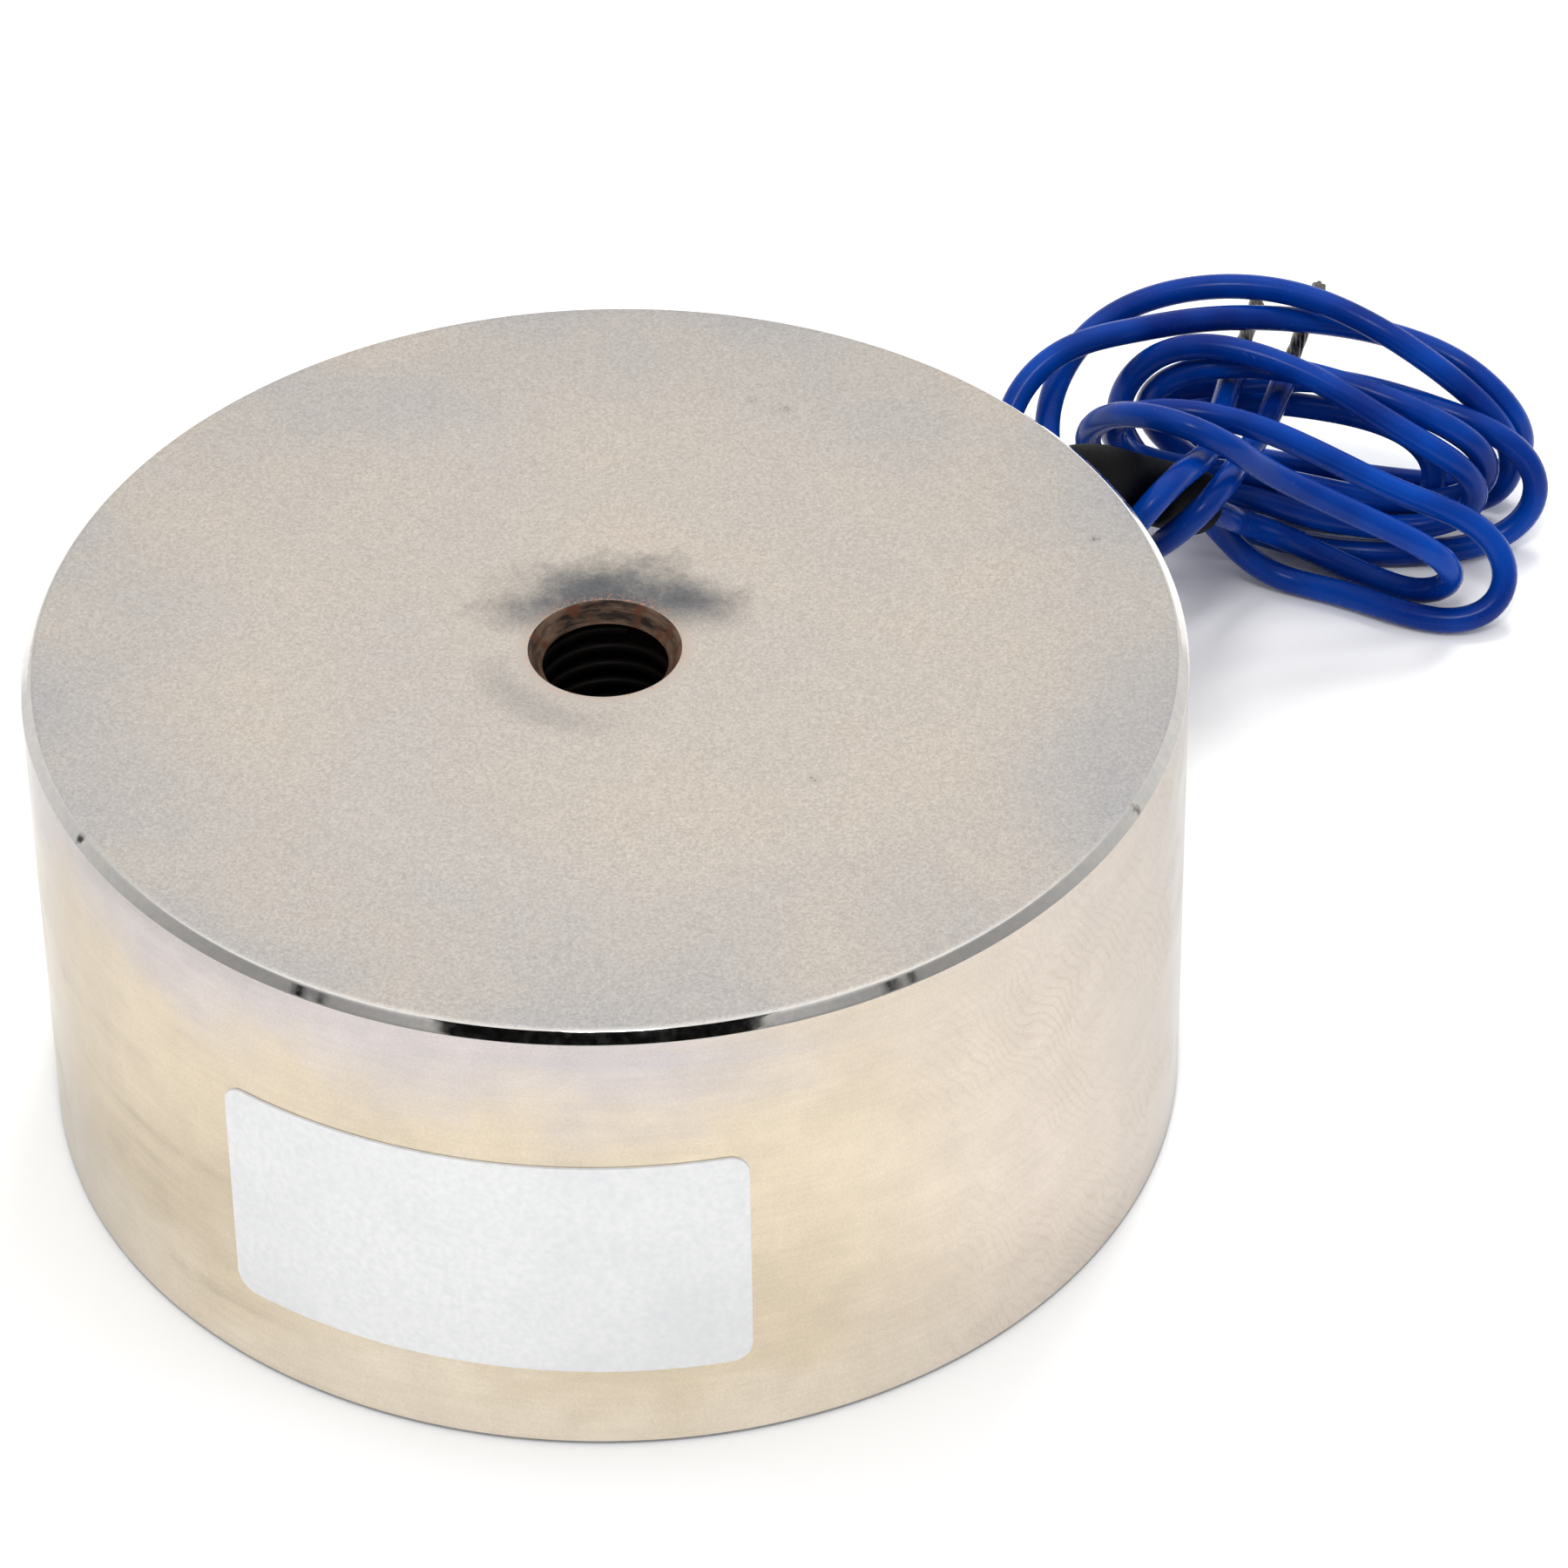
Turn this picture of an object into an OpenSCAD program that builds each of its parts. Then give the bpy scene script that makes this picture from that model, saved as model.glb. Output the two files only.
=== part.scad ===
// Pot-type holding electromagnet: turned steel pot with a potted coil and two loose leads
// Millimetres. Origin at the centre of the holding face, +Z up through the back face.

/* [Body] */
// Outside diameter of the pot
body_d = 65; // [60:0.5:72]
// Height from the holding face to the back face
body_h = 30; // [28:0.5:34]
// Thickness of the outer ring
wall_t = 4.5; // [3.5:0.25:5.5]
// Thickness of the back plate
back_t = 7.5; // [6.5:0.25:8.5]
// Diameter of the centre pole
pole_d = 28; // [24:0.5:30]
// Chamfer round the back edge
back_chamfer = 0.6; // [0.3:0.1:1.2]
// Chamfer round the holding edge
face_chamfer = 0.3; // [0.2:0.1:0.8]

/* [Back hole] */
// Tapping bore of the thread
thread_bore_d = 6.8; // [5:0.1:8.5]
// Length of the threaded bore
thread_depth = 12; // [8:0.5:15]
// Width of the countersink round the bore
countersink_w = 0.9; // [0.4:0.1:1.5]
// Depth of the countersink
countersink_depth = 1.2; // [0.5:0.1:2]
// Depth of the drill point under the bore
drill_point = 2; // [1:0.25:3]

/* [Coil] */
// Gap between the pole and the bobbin
bobbin_gap = 0.2; // [0.1:0.05:0.4]
// Barrel wall of the bobbin
bobbin_wall = 1; // [0.8:0.1:1.4]
// Thickness of each bobbin flange
flange_t = 1.2; // [1:0.1:1.6]
// Gap between a flange and the outer ring
flange_gap = 0.4; // [0.2:0.1:0.8]
// Room between the winding and the outer ring
coil_room = 3; // [2.8:0.1:4]
// Thickness of the tape round the winding
wrap_t = 0.2; // [0.1:0.05:0.4]
// Depth of the resin in the groove
potting_t = 3.8; // [3:0.2:5]
// Step from the holding face to the resin
potting_step = 0.2; // [0.1:0.1:0.5]

/* [Coil ends] */
// Diameter of the winding wire
wire_d = 0.5; // [0.3:0.05:0.6]
// Bend radius of the start wire
wire_bend = 0.8; // [0.7:0.05:0.9]
// Width of the start slot round the wire
slot_room = 0.3; // [0.2:0.1:0.6]
// Diameter of a soldered splice
splice_d = 1.1; // [0.9:0.05:1.3]
// Length of a soldered splice
splice_len = 4; // [3:0.25:5]

/* [Lead outlet] */
// Bearing of the outlet, anticlockwise from +X
exit_bearing = 48; // [0:1:90]
// Room between the sleeve and the deep flange
exit_room = 0.2; // [0.1:0.1:0.6]
// Outside diameter of the sleeve
sleeve_d = 4.2; // [4:0.1:4.6]
// Wall of the sleeve
sleeve_t = 0.4; // [0.2:0.05:0.45]
// Reach of the sleeve inside the outer ring
sleeve_in = 0.5; // [0.4:0.1:0.8]
// Straight run of the sleeve outside the pot
sleeve_run = 3; // [2:0.25:4]
// Radius of the sleeve's bend
sleeve_bend_r = 14; // [12:0.5:16]
// Angle of the sleeve's bend
sleeve_bend = 38; // [34:1:40]
// Straight tail of the sleeve below the bend
sleeve_tail = 11; // [9:0.5:12]

/* [Leads] */
// Diameter over the insulation
lead_d = 1.6; // [1.3:0.05:1.6]
// Gap between the two leads in the sleeve
lead_gap = 0.1; // [0.05:0.05:0.15]
// Diameter of a tinned end
tip_d = 1; // [0.7:0.05:1.2]
// Length of the tinned end of lead a
tip_a_len = 7; // [4:0.5:12]
// Length of the tinned end of lead b
tip_b_len = 9.5; // [4:0.5:12]

/* [Label] */
// Width of the label round the side
label_w = 30; // [20:1:40]
// Height of the label
label_h = 15; // [10:0.5:18]
// Thickness of the label
label_t = 0.12; // [0.08:0.02:0.3]
// Corner radius of the label
label_r = 1.2; // [0.5:0.1:3]
// Height of the label's middle
label_z = 13.2; // [11:0.2:16]
// Bearing of the label's middle, anticlockwise from +X
label_bearing = 257.3; // [200:0.1:320]

/* [Hidden] */
$fn = 96;
over = 0.1;
body_r = body_d / 2;
pole_r = pole_d / 2;
ring_r = body_r - wall_t;
floor_z = body_h - back_t;
bore_r = thread_bore_d / 2;
mouth_r = bore_r + countersink_w;
bore_top = body_h - countersink_depth;
bore_end = bore_top - thread_depth;
tip_z = bore_end - drill_point;
bobbin_r = pole_r + bobbin_gap;
barrel_r = bobbin_r + bobbin_wall;
flange_r = ring_r - flange_gap;
coil_r = ring_r - coil_room;
wrap_r = coil_r + wrap_t;
potting_top = potting_step + potting_t;
coil_low = potting_top + flange_t;
coil_top = floor_z - flange_t;
exit_z = coil_top - exit_room - sleeve_d / 2;
sleeve_r = sleeve_d / 2;
sleeve_bore_r = sleeve_r - sleeve_t;
sleeve_start = ring_r - sleeve_in;
bend_start = body_r + sleeve_run;
bend_end = bend_start + sleeve_bend_r * sin(sleeve_bend);
bend_end_z = exit_z - sleeve_bend_r * (1 - cos(sleeve_bend));
tail_end = bend_end + sleeve_tail * cos(sleeve_bend);
tail_end_z = bend_end_z - sleeve_tail * sin(sleeve_bend);
side = (lead_d + lead_gap) / 2;
lead_r = lead_d / 2;
lead_start = sleeve_start + splice_len;
lead_sides = 8;
sleeve_sides = 24;
bend_steps = 8;
wire_r = wire_d / 2;
wire_fn = 24;
start_bend = flange_t / 2;
wire_z = coil_top + start_bend;
wire_turn = barrel_r + wire_d + start_bend;
leg_r = sleeve_start - wire_bend;
leg_len = wire_z - exit_z - 2 * wire_bend;
half_turn = 180;
quarter = 90;

// The photographed lay of the leads belongs to this outlet
lay_bearing = 48;
lay_reach = 52.8;
lay_r = 0.8;
lay_height = 9.3;
lay_turn = exit_bearing - lay_bearing;
lay_shift = tail_end - lay_reach;
lay_rise = min(1, max(0.9, tail_end_z / lay_height));

// Loose run of lead a, from the sleeve to its stripped end
lay_a = [
    [38.7, 42, 5.4], [41.8, 43.8, 2.6], [46, 42.6, 0.9], [49.6, 40.2, 1.1], [51.5, 38.8, 3.4],
    [50.2, 37.8, 6], [44, 38, 9.8], [39.5, 37.4, 13], [36.8, 35.8, 16.4], [33.5, 36.8, 17.4],
    [30.6, 39.3, 16], [29, 42, 12.8], [29.4, 43.8, 9.2], [33, 45, 6.4], [39, 45.2, 5],
    [43.5, 45, 3.4], [48.5, 45, 2.6], [51.8, 45, 3], [53.4, 44.5, 5.4], [52.2, 44, 7.8],
    [48.5, 44.5, 10.4], [42, 47, 13.4], [36.5, 48.6, 14.2], [33.6, 49, 13.4], [31.6, 49.2, 10.8],
    [31.2, 49.6, 7.6], [33, 49.2, 4.4], [37, 47.4, 2], [42, 45.8, 0.9], [47, 44.6, 0.9],
    [52.5, 45, 0.9], [56, 46, 1.6], [57.4, 46.9, 4], [56, 47.6, 6.6], [51.5, 49, 8.5],
    [44, 52.4, 8.6], [38, 52.4, 8.4], [34.8, 53, 7.6], [33, 54.2, 5.2], [34.2, 55.4, 2.8],
    [38, 55, 1.1], [43, 53.6, 0.9], [52, 51.6, 0.9], [55.4, 51.4, 1.7], [56.8, 51, 4.2],
    [55.8, 51, 7], [52.8, 52.6, 9.5], [48, 54.8, 10.4], [42.5, 54.6, 11.7], [37, 52.8, 13.2],
    [31.5, 50, 14.3], [27.5, 48.2, 14.3], [24.5, 46, 12.2], [23.8, 42.5, 9.5], [25.5, 37.5, 7.8],
    [28.2, 33, 9.4], [30.6, 30.6, 13.4], [31.8, 31, 15], [33.4, 32.6, 15.8], [35.4, 36.6, 14.5], [36.2, 40.8, 12.1],
    [37.2, 46, 10.8], [38.6, 51.8, 10.5]
];

// Loose run of lead b, from the sleeve to its stripped end
lay_b = [
    [36.8, 43, 4.8], [40.2, 42.4, 1.1], [44.5, 40.8, 0.9], [48, 38.8, 0.9], [51.5, 37.6, 0.9],
    [54.2, 38.3, 1.5], [54.8, 39.8, 3.6], [53, 40.8, 5.8], [48, 41, 8.4], [43.5, 41.3, 11],
    [38.5, 41.8, 13.3], [33.8, 42.4, 13.9], [31.2, 43.4, 12.8], [30.6, 45.2, 10.2], [31.6, 46.6, 7.6],
    [34.4, 47.2, 6], [39, 47, 5.4], [43.5, 46.7, 4.4], [49, 47, 3], [52.8, 46.8, 3.6],
    [54.2, 46.2, 6], [52.8, 45.8, 8.6], [48.5, 46.6, 10.9], [42, 48.8, 12], [37, 48.9, 12.4],
    [34.2, 49, 11.4], [33, 50, 9], [33.6, 51.2, 6], [36, 51.4, 3.2], [40.5, 49.6, 1.2],
    [45.5, 48, 0.9], [49.2, 47.9, 1.1], [51.2, 48.8, 2.8], [50.6, 49.8, 5], [47.5, 51, 6.3],
    [43, 52.6, 6.4], [38.5, 53.2, 6.4], [35.8, 53.4, 5.6], [34.8, 53.4, 3.5], [36.2, 53.2, 1.5],
    [41, 51.8, 0.9], [46.5, 50.4, 0.9], [51, 49.8, 0.9], [54.6, 49.2, 1.5], [56, 49.2, 4],
    [55, 49.6, 6.9], [51.5, 50.6, 10.3], [47, 52.4, 12.8], [42, 54.9, 13.6], [36, 55.6, 13.5],
    [30.5, 53.5, 12.8], [27.2, 48.8, 11.4], [26.5, 44.5, 9.5], [28, 40.5, 7], [30.4, 36.8, 7],
    [32.6, 34.4, 9.6], [34.8, 33.6, 12.2], [36.6, 35.4, 13.2], [37.6, 38.8, 12], [38.9, 42.8, 10.6],
    [40.4, 47, 10.1], [41.6, 51, 10.1]
];

// A point at a reach along the outlet's bearing, a sideways step and a height
function outward(reach, step, z) = [
    reach * cos(exit_bearing) - step * sin(exit_bearing),
    reach * sin(exit_bearing) + step * cos(exit_bearing),
    z
];

// A point of a loose run, moved with the outlet
function laid(p) = [
    p[0] * cos(lay_turn) - p[1] * sin(lay_turn) + lay_shift * cos(exit_bearing),
    p[0] * sin(lay_turn) + p[1] * cos(lay_turn) + lay_shift * sin(exit_bearing),
    lay_r + (p[2] - lay_r) * lay_rise
];

// The part of a lead that lies in the sleeve
function sleeved(step) = [
    outward(lead_start, step, exit_z),
    outward(bend_start, step, exit_z),
    outward(bend_start + sleeve_bend_r * sin(sleeve_bend / 2), step,
            exit_z - sleeve_bend_r * (1 - cos(sleeve_bend / 2))),
    outward(bend_end, step, bend_end_z),
    outward((bend_end + tail_end) / 2, step, (bend_end_z + tail_end_z) / 2),
    outward(tail_end, step, tail_end_z)
];

// The sleeve's middle line, as a run, a bend and a tail
route_sleeve = concat(
    [outward(sleeve_start, 0, exit_z)],
    [for (i = [0 : bend_steps])
        let (turn = sleeve_bend * i / bend_steps)
            outward(bend_start + sleeve_bend_r * sin(turn), 0, exit_z - sleeve_bend_r * (1 - cos(turn)))],
    [outward(tail_end, 0, tail_end_z)]
);

route_a = concat(sleeved(-side), [for (p = lay_a) laid(p)]);
route_b = concat(sleeved(side), [for (p = lay_b) laid(p)]);

function unit(v) = v / norm(v);
function last(r) = len(r) - 1;
function heading(r, i) = unit(
    (i == 0 ? [0, 0, 0] : unit(r[i] - r[i - 1]))
    + (i == last(r) ? [0, 0, 0] : unit(r[i + 1] - r[i])));
function square_to(v, t) = unit(v - (v * t) * t);

// Ring normals carried along the route, so that the tube doesn't twist
function normals(r) = [
    for (i = 0, n = square_to([0, 0, 1], heading(r, 0));
         i < len(r);
         i = i + 1, n = i < len(r) ? square_to(n, heading(r, i)) : n)
        n
];

// One ring of points at each point of a route
function rings(r, n, radius, sides) = [
    for (i = [0 : last(r)])
        for (k = [0 : sides - 1])
            r[i] + radius * (cos(k * 360 / sides) * n[i]
                + sin(k * 360 / sides) * cross(heading(r, i), n[i]))
];

// The triangles between neighbouring rings
function skin(count, sides) = [
    for (i = [0 : count - 2])
        for (k = [0 : sides - 1])
            for (half = [0, 1])
                let (a = i * sides + k, b = i * sides + (k + 1) % sides)
                    half == 0 ? [a, a + sides, b] : [b, a + sides, b + sides]
];

// A solid round cord swept along a route
module swept(r, radius, sides) {
    end = last(r) * sides;
    start_cap = [for (k = [0 : sides - 1]) k];
    end_cap = [for (k = [sides - 1 : -1 : 0]) end + k];
    polyhedron(rings(r, normals(r), radius, sides), concat(skin(len(r), sides), [start_cap, end_cap]));
}

// A round tube swept along a route
module swept_tube(r, outer, inner, sides) {
    n = normals(r);
    inside = len(r) * sides;
    end = last(r) * sides;
    bore = [for (f = skin(len(r), sides)) [f[0] + inside, f[2] + inside, f[1] + inside]];
    rims = [
        for (k = [0 : sides - 1])
            for (half = [0 : 3])
                let (a = k, b = (k + 1) % sides)
                    half == 0 ? [a, b, a + inside]
                        : half == 1 ? [b, b + inside, a + inside]
                        : half == 2 ? [a + end, a + end + inside, b + end]
                        : [b + end, a + end + inside, b + end + inside]
    ];
    polyhedron(concat(rings(r, n, outer, sides), rings(r, n, inner, sides)), concat(skin(len(r), sides), bore, rims));
}

// A rod that starts at a point and runs along a heading
module rod(p, t, radius, length) {
    translate(p)
        rotate([0, acos(t[2]), atan2(t[1], t[0])])
            cylinder(r = radius, h = length);
}

// Turns a shape built on +X to the outlet's bearing
module at_outlet() {
    rotate([0, 0, exit_bearing])
        children();
}

// A rod along +X at a sideways step and a height
module along_x(from, to, step, z, radius, sides = $fn) {
    translate([from, step, z])
        rotate([0, quarter, 0])
            cylinder(r = radius, h = to - from, $fn = sides);
}

// A ring with flat ends
module ring(outer, inner, low, high) {
    translate([0, 0, low])
        difference() {
            cylinder(r = outer, h = high - low);
            translate([0, 0, -over])
                cylinder(r = inner, h = high - low + 2 * over);
        }
}

module pot_body() {
    color([0.78, 0.76, 0.72])
        difference() {
            rotate_extrude()
                polygon([
                    [0, 0],
                    [pole_r, 0],
                    [pole_r, floor_z],
                    [ring_r, floor_z],
                    [ring_r, 0],
                    [body_r - face_chamfer, 0],
                    [body_r, face_chamfer],
                    [body_r, body_h - back_chamfer],
                    [body_r - back_chamfer, body_h],
                    [mouth_r, body_h],
                    [bore_r, bore_top],
                    [bore_r, bore_end],
                    [0, tip_z]
                ]);
            at_outlet()
                along_x(ring_r - over, body_r + over, 0, exit_z, sleeve_r);
        }
}

module bobbin() {
    slot_w = wire_d + slot_room;
    color([0.9, 0.88, 0.82])
        difference() {
            rotate_extrude()
                polygon([
                    [bobbin_r, potting_top],
                    [flange_r, potting_top],
                    [flange_r, coil_low],
                    [barrel_r, coil_low],
                    [barrel_r, coil_top],
                    [flange_r, coil_top],
                    [flange_r, floor_z],
                    [bobbin_r, floor_z]
                ]);
            at_outlet()
                translate([barrel_r, -side - slot_w / 2, coil_top - over])
                    cube([flange_r, slot_w, flange_t + 2 * over]);
        }
}

module coil_winding() {
    color([0.72, 0.36, 0.16])
        ring(coil_r, barrel_r, coil_low, coil_top);
}

module coil_wrap() {
    color([0.85, 0.7, 0.25])
        difference() {
            ring(wrap_r, coil_r, coil_low, coil_top);
            at_outlet()
                along_x(coil_r - 1, wrap_r + 1, side, exit_z, wire_r, wire_fn);
        }
}

module potting_ring() {
    color([0.08, 0.08, 0.09])
        ring(ring_r, pole_r, potting_step, potting_top);
}

// A bend of round wire in the X-Z plane, standing at a step
module wire_arc(centre_x, centre_z, step, bend, from) {
    translate([centre_x, step, centre_z])
        rotate([quarter, 0, 0])
            rotate([0, 0, from])
                rotate_extrude(angle = quarter)
                    translate([bend, 0])
                        circle(r = wire_r, $fn = wire_fn);
}

module start_tail() {
    color([0.75, 0.38, 0.18])
        at_outlet() {
            wire_arc(wire_turn, coil_top, -side, start_bend, quarter);
            along_x(wire_turn, leg_r - wire_bend, -side, wire_z, wire_r, wire_fn);
            wire_arc(leg_r - wire_bend, wire_z - wire_bend, -side, wire_bend, 0);
            translate([leg_r, -side, exit_z + wire_bend])
                cylinder(r = wire_r, h = leg_len, $fn = wire_fn);
            wire_arc(sleeve_start, exit_z + wire_bend, -side, wire_bend, half_turn);
        }
}

module finish_tail() {
    color([0.75, 0.38, 0.18])
        at_outlet()
            difference() {
                along_x(coil_r - 1, sleeve_start, side, exit_z, wire_r, wire_fn);
                translate([0, 0, coil_low])
                    cylinder(r = coil_r, h = coil_top - coil_low);
            }
}

module splice(step) {
    color([0.7, 0.7, 0.72])
        at_outlet()
            along_x(sleeve_start, lead_start, step, exit_z, splice_d / 2);
}

module splice_tube(step) {
    color([0.15, 0.15, 0.16])
        at_outlet()
            difference() {
                along_x(sleeve_start, lead_start, step, exit_z, lead_r);
                along_x(sleeve_start - over, lead_start + over, step, exit_z, splice_d / 2);
            }
}

module start_splice() {
    splice(-side);
}

module finish_splice() {
    splice(side);
}

module start_splice_tube() {
    splice_tube(-side);
}

module finish_splice_tube() {
    splice_tube(side);
}

module exit_sleeve() {
    color([0.05, 0.05, 0.05])
        swept_tube(route_sleeve, sleeve_r, sleeve_bore_r, sleeve_sides);
}

module lead_a() {
    color([0.1, 0.25, 0.75])
        swept(route_a, lead_r, lead_sides);
}

module lead_b() {
    color([0.1, 0.25, 0.75])
        swept(route_b, lead_r, lead_sides);
}

module lead_a_tip() {
    color([0.6, 0.6, 0.62])
        rod(route_a[last(route_a)], heading(route_a, last(route_a)), tip_d / 2, tip_a_len);
}

module lead_b_tip() {
    color([0.6, 0.6, 0.62])
        rod(route_b[last(route_b)], heading(route_b, last(route_b)), tip_d / 2, tip_b_len);
}

// A rectangle with round corners, standing on the Y-Z plane's flat layout
module rounded_sheet(w, h, r) {
    square([w - 2 * r, h], center = true);
    square([w, h - 2 * r], center = true);
    for (x = [-1, 1])
        for (y = [-1, 1])
            translate([x * (w / 2 - r), y * (h / 2 - r)])
                circle(r = r);
}

module label() {
    span = label_w / body_r * half_turn / PI;
    color([0.96, 0.96, 0.95])
        rotate([0, 0, label_bearing])
            intersection() {
                ring(body_r + label_t, body_r, label_z - label_h, label_z + label_h);
                translate([0, 0, label_z])
                    rotate([quarter, 0, quarter])
                        linear_extrude(height = body_d)
                            rounded_sheet(2 * body_r * sin(span / 2), label_h, label_r);
            }
}

pot_body();
bobbin();
coil_winding();
coil_wrap();
potting_ring();
start_tail();
finish_tail();
start_splice();
finish_splice();
start_splice_tube();
finish_splice_tube();
exit_sleeve();
lead_a();
lead_b();
lead_a_tip();
lead_b_tip();
label();
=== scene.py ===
# %% [markdown]
# # A holding electromagnet
# A turned steel pot, plated with nickel, holds a coil that is cast in with resin. It stands on its
# holding face, with a threaded hole in the back face and two blue leads in a loose hank at its side.
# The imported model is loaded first, because every piece made here sits in its frame, in metres. The
# part's own sizes are named in millimetres, as in its source, and MM turns them into metres.

# %% Load the frame
import math

import bmesh
import bpy
import numpy as np
from mathutils import Matrix, Vector


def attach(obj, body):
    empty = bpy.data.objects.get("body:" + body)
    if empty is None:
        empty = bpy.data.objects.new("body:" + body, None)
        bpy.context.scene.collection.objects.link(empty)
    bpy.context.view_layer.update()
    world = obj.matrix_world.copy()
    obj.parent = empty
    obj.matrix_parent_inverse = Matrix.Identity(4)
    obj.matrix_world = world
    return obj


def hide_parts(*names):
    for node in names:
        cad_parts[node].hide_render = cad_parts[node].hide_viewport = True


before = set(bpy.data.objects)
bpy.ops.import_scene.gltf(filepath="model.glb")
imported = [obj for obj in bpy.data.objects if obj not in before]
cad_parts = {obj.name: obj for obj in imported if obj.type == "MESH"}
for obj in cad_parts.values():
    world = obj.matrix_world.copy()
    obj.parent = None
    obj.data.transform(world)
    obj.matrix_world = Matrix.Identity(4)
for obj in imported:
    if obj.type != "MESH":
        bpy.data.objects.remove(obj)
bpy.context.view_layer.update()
MM = 0.001

# %% [markdown]
# ## Camera
# The photograph was taken with a long lens from 40 degrees above the table. A camera can be placed by
# eye, but here its place, its small roll and its field of view were fitted to the two rims of the pot, so
# they are stated directly: a direction to look along, a distance to the point that is looked at, and a
# focal length.

# %% Place the camera
CAMERA_ELEVATION = math.radians(39.85)
CAMERA_ROLL = math.radians(-0.857)
CAMERA_DISTANCE = 0.42306
CAMERA_TARGET = Vector((0.00985, 0.0, 0.01994))
SENSOR_WIDTH = 36
FOCAL_LENGTH = 171.93


def put(name, data):
    thing = bpy.data.objects.new(name, data)
    bpy.context.scene.collection.objects.link(thing)
    return thing


look = Vector((0, math.cos(CAMERA_ELEVATION), -math.sin(CAMERA_ELEVATION)))
level_right = Vector((1, 0, 0))
level_up = level_right.cross(look)
right = math.cos(CAMERA_ROLL) * level_right + math.sin(CAMERA_ROLL) * level_up
up = math.cos(CAMERA_ROLL) * level_up - math.sin(CAMERA_ROLL) * level_right

lens = bpy.data.cameras.new("camera")
lens.sensor_width = SENSOR_WIDTH
lens.lens = FOCAL_LENGTH
lens.clip_start = 0.01
camera = put("camera", lens)
turn = Matrix((right, up, -look)).transposed().to_4x4()
camera.matrix_world = Matrix.Translation(CAMERA_TARGET - CAMERA_DISTANCE * look) @ turn
bpy.context.scene.camera = camera
print("camera at", [round(v, 4) for v in camera.location])

# %% [markdown]
# ## Route of the leads
# The two leads leave the pot side by side in a black sleeve, then loop over each other in a loose hank.
# A rope simulation would give some hank, but not this one, so each route is a list of given points, the
# same as in the part's source. The sleeve's own line is a straight, a bend and a straight.

# %% List the route points
LEAD_D = 1.6
LEAD_SIDE = 0.85
LEAD_START = 31.5
EXIT_BEARING = math.radians(48)
EXIT_Z = 19.0
BEND_START = 35.5
BEND_R = 14.0
BEND = math.radians(38)
SLEEVE_TAIL = 11.0

LAY_A = [
    (38.7, 42, 5.4), (41.8, 43.8, 2.6), (46, 42.6, 0.9), (49.6, 40.2, 1.1), (51.5, 38.8, 3.4),
    (50.2, 37.8, 6), (44, 38, 9.8), (39.5, 37.4, 13), (36.8, 35.8, 16.4), (33.5, 36.8, 17.4),
    (30.6, 39.3, 16), (29, 42, 12.8), (29.4, 43.8, 9.2), (33, 45, 6.4), (39, 45.2, 5),
    (43.5, 45, 3.4), (48.5, 45, 2.6), (51.8, 45, 3), (53.4, 44.5, 5.4), (52.2, 44, 7.8),
    (48.5, 44.5, 10.4), (42, 47, 13.4), (36.5, 48.6, 14.2), (33.6, 49, 13.4), (31.6, 49.2, 10.8),
    (31.2, 49.6, 7.6), (33, 49.2, 4.4), (37, 47.4, 2), (42, 45.8, 0.9), (47, 44.6, 0.9),
    (52.5, 45, 0.9), (56, 46, 1.6), (57.4, 46.9, 4), (56, 47.6, 6.6), (51.5, 49, 8.5),
    (44, 52.4, 8.6), (38, 52.4, 8.4), (34.8, 53, 7.6), (33, 54.2, 5.2), (34.2, 55.4, 2.8),
    (38, 55, 1.1), (43, 53.6, 0.9), (52, 51.6, 0.9), (55.4, 51.4, 1.7), (56.8, 51, 4.2),
    (55.8, 51, 7), (52.8, 52.6, 9.5), (48, 54.8, 10.4), (42.5, 54.6, 11.7), (37, 52.8, 13.2),
    (31.5, 50, 14.3), (27.5, 48.2, 14.3), (24.5, 46, 12.2), (23.8, 42.5, 9.5), (25.5, 37.5, 7.8),
    (28.2, 33, 9.4), (30.6, 30.6, 13.4), (31.8, 31, 15), (33.4, 32.6, 15.8), (35.4, 36.6, 14.5),
    (36.2, 40.8, 12.1), (37.2, 46, 10.8), (38.6, 51.8, 10.5),
]
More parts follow.
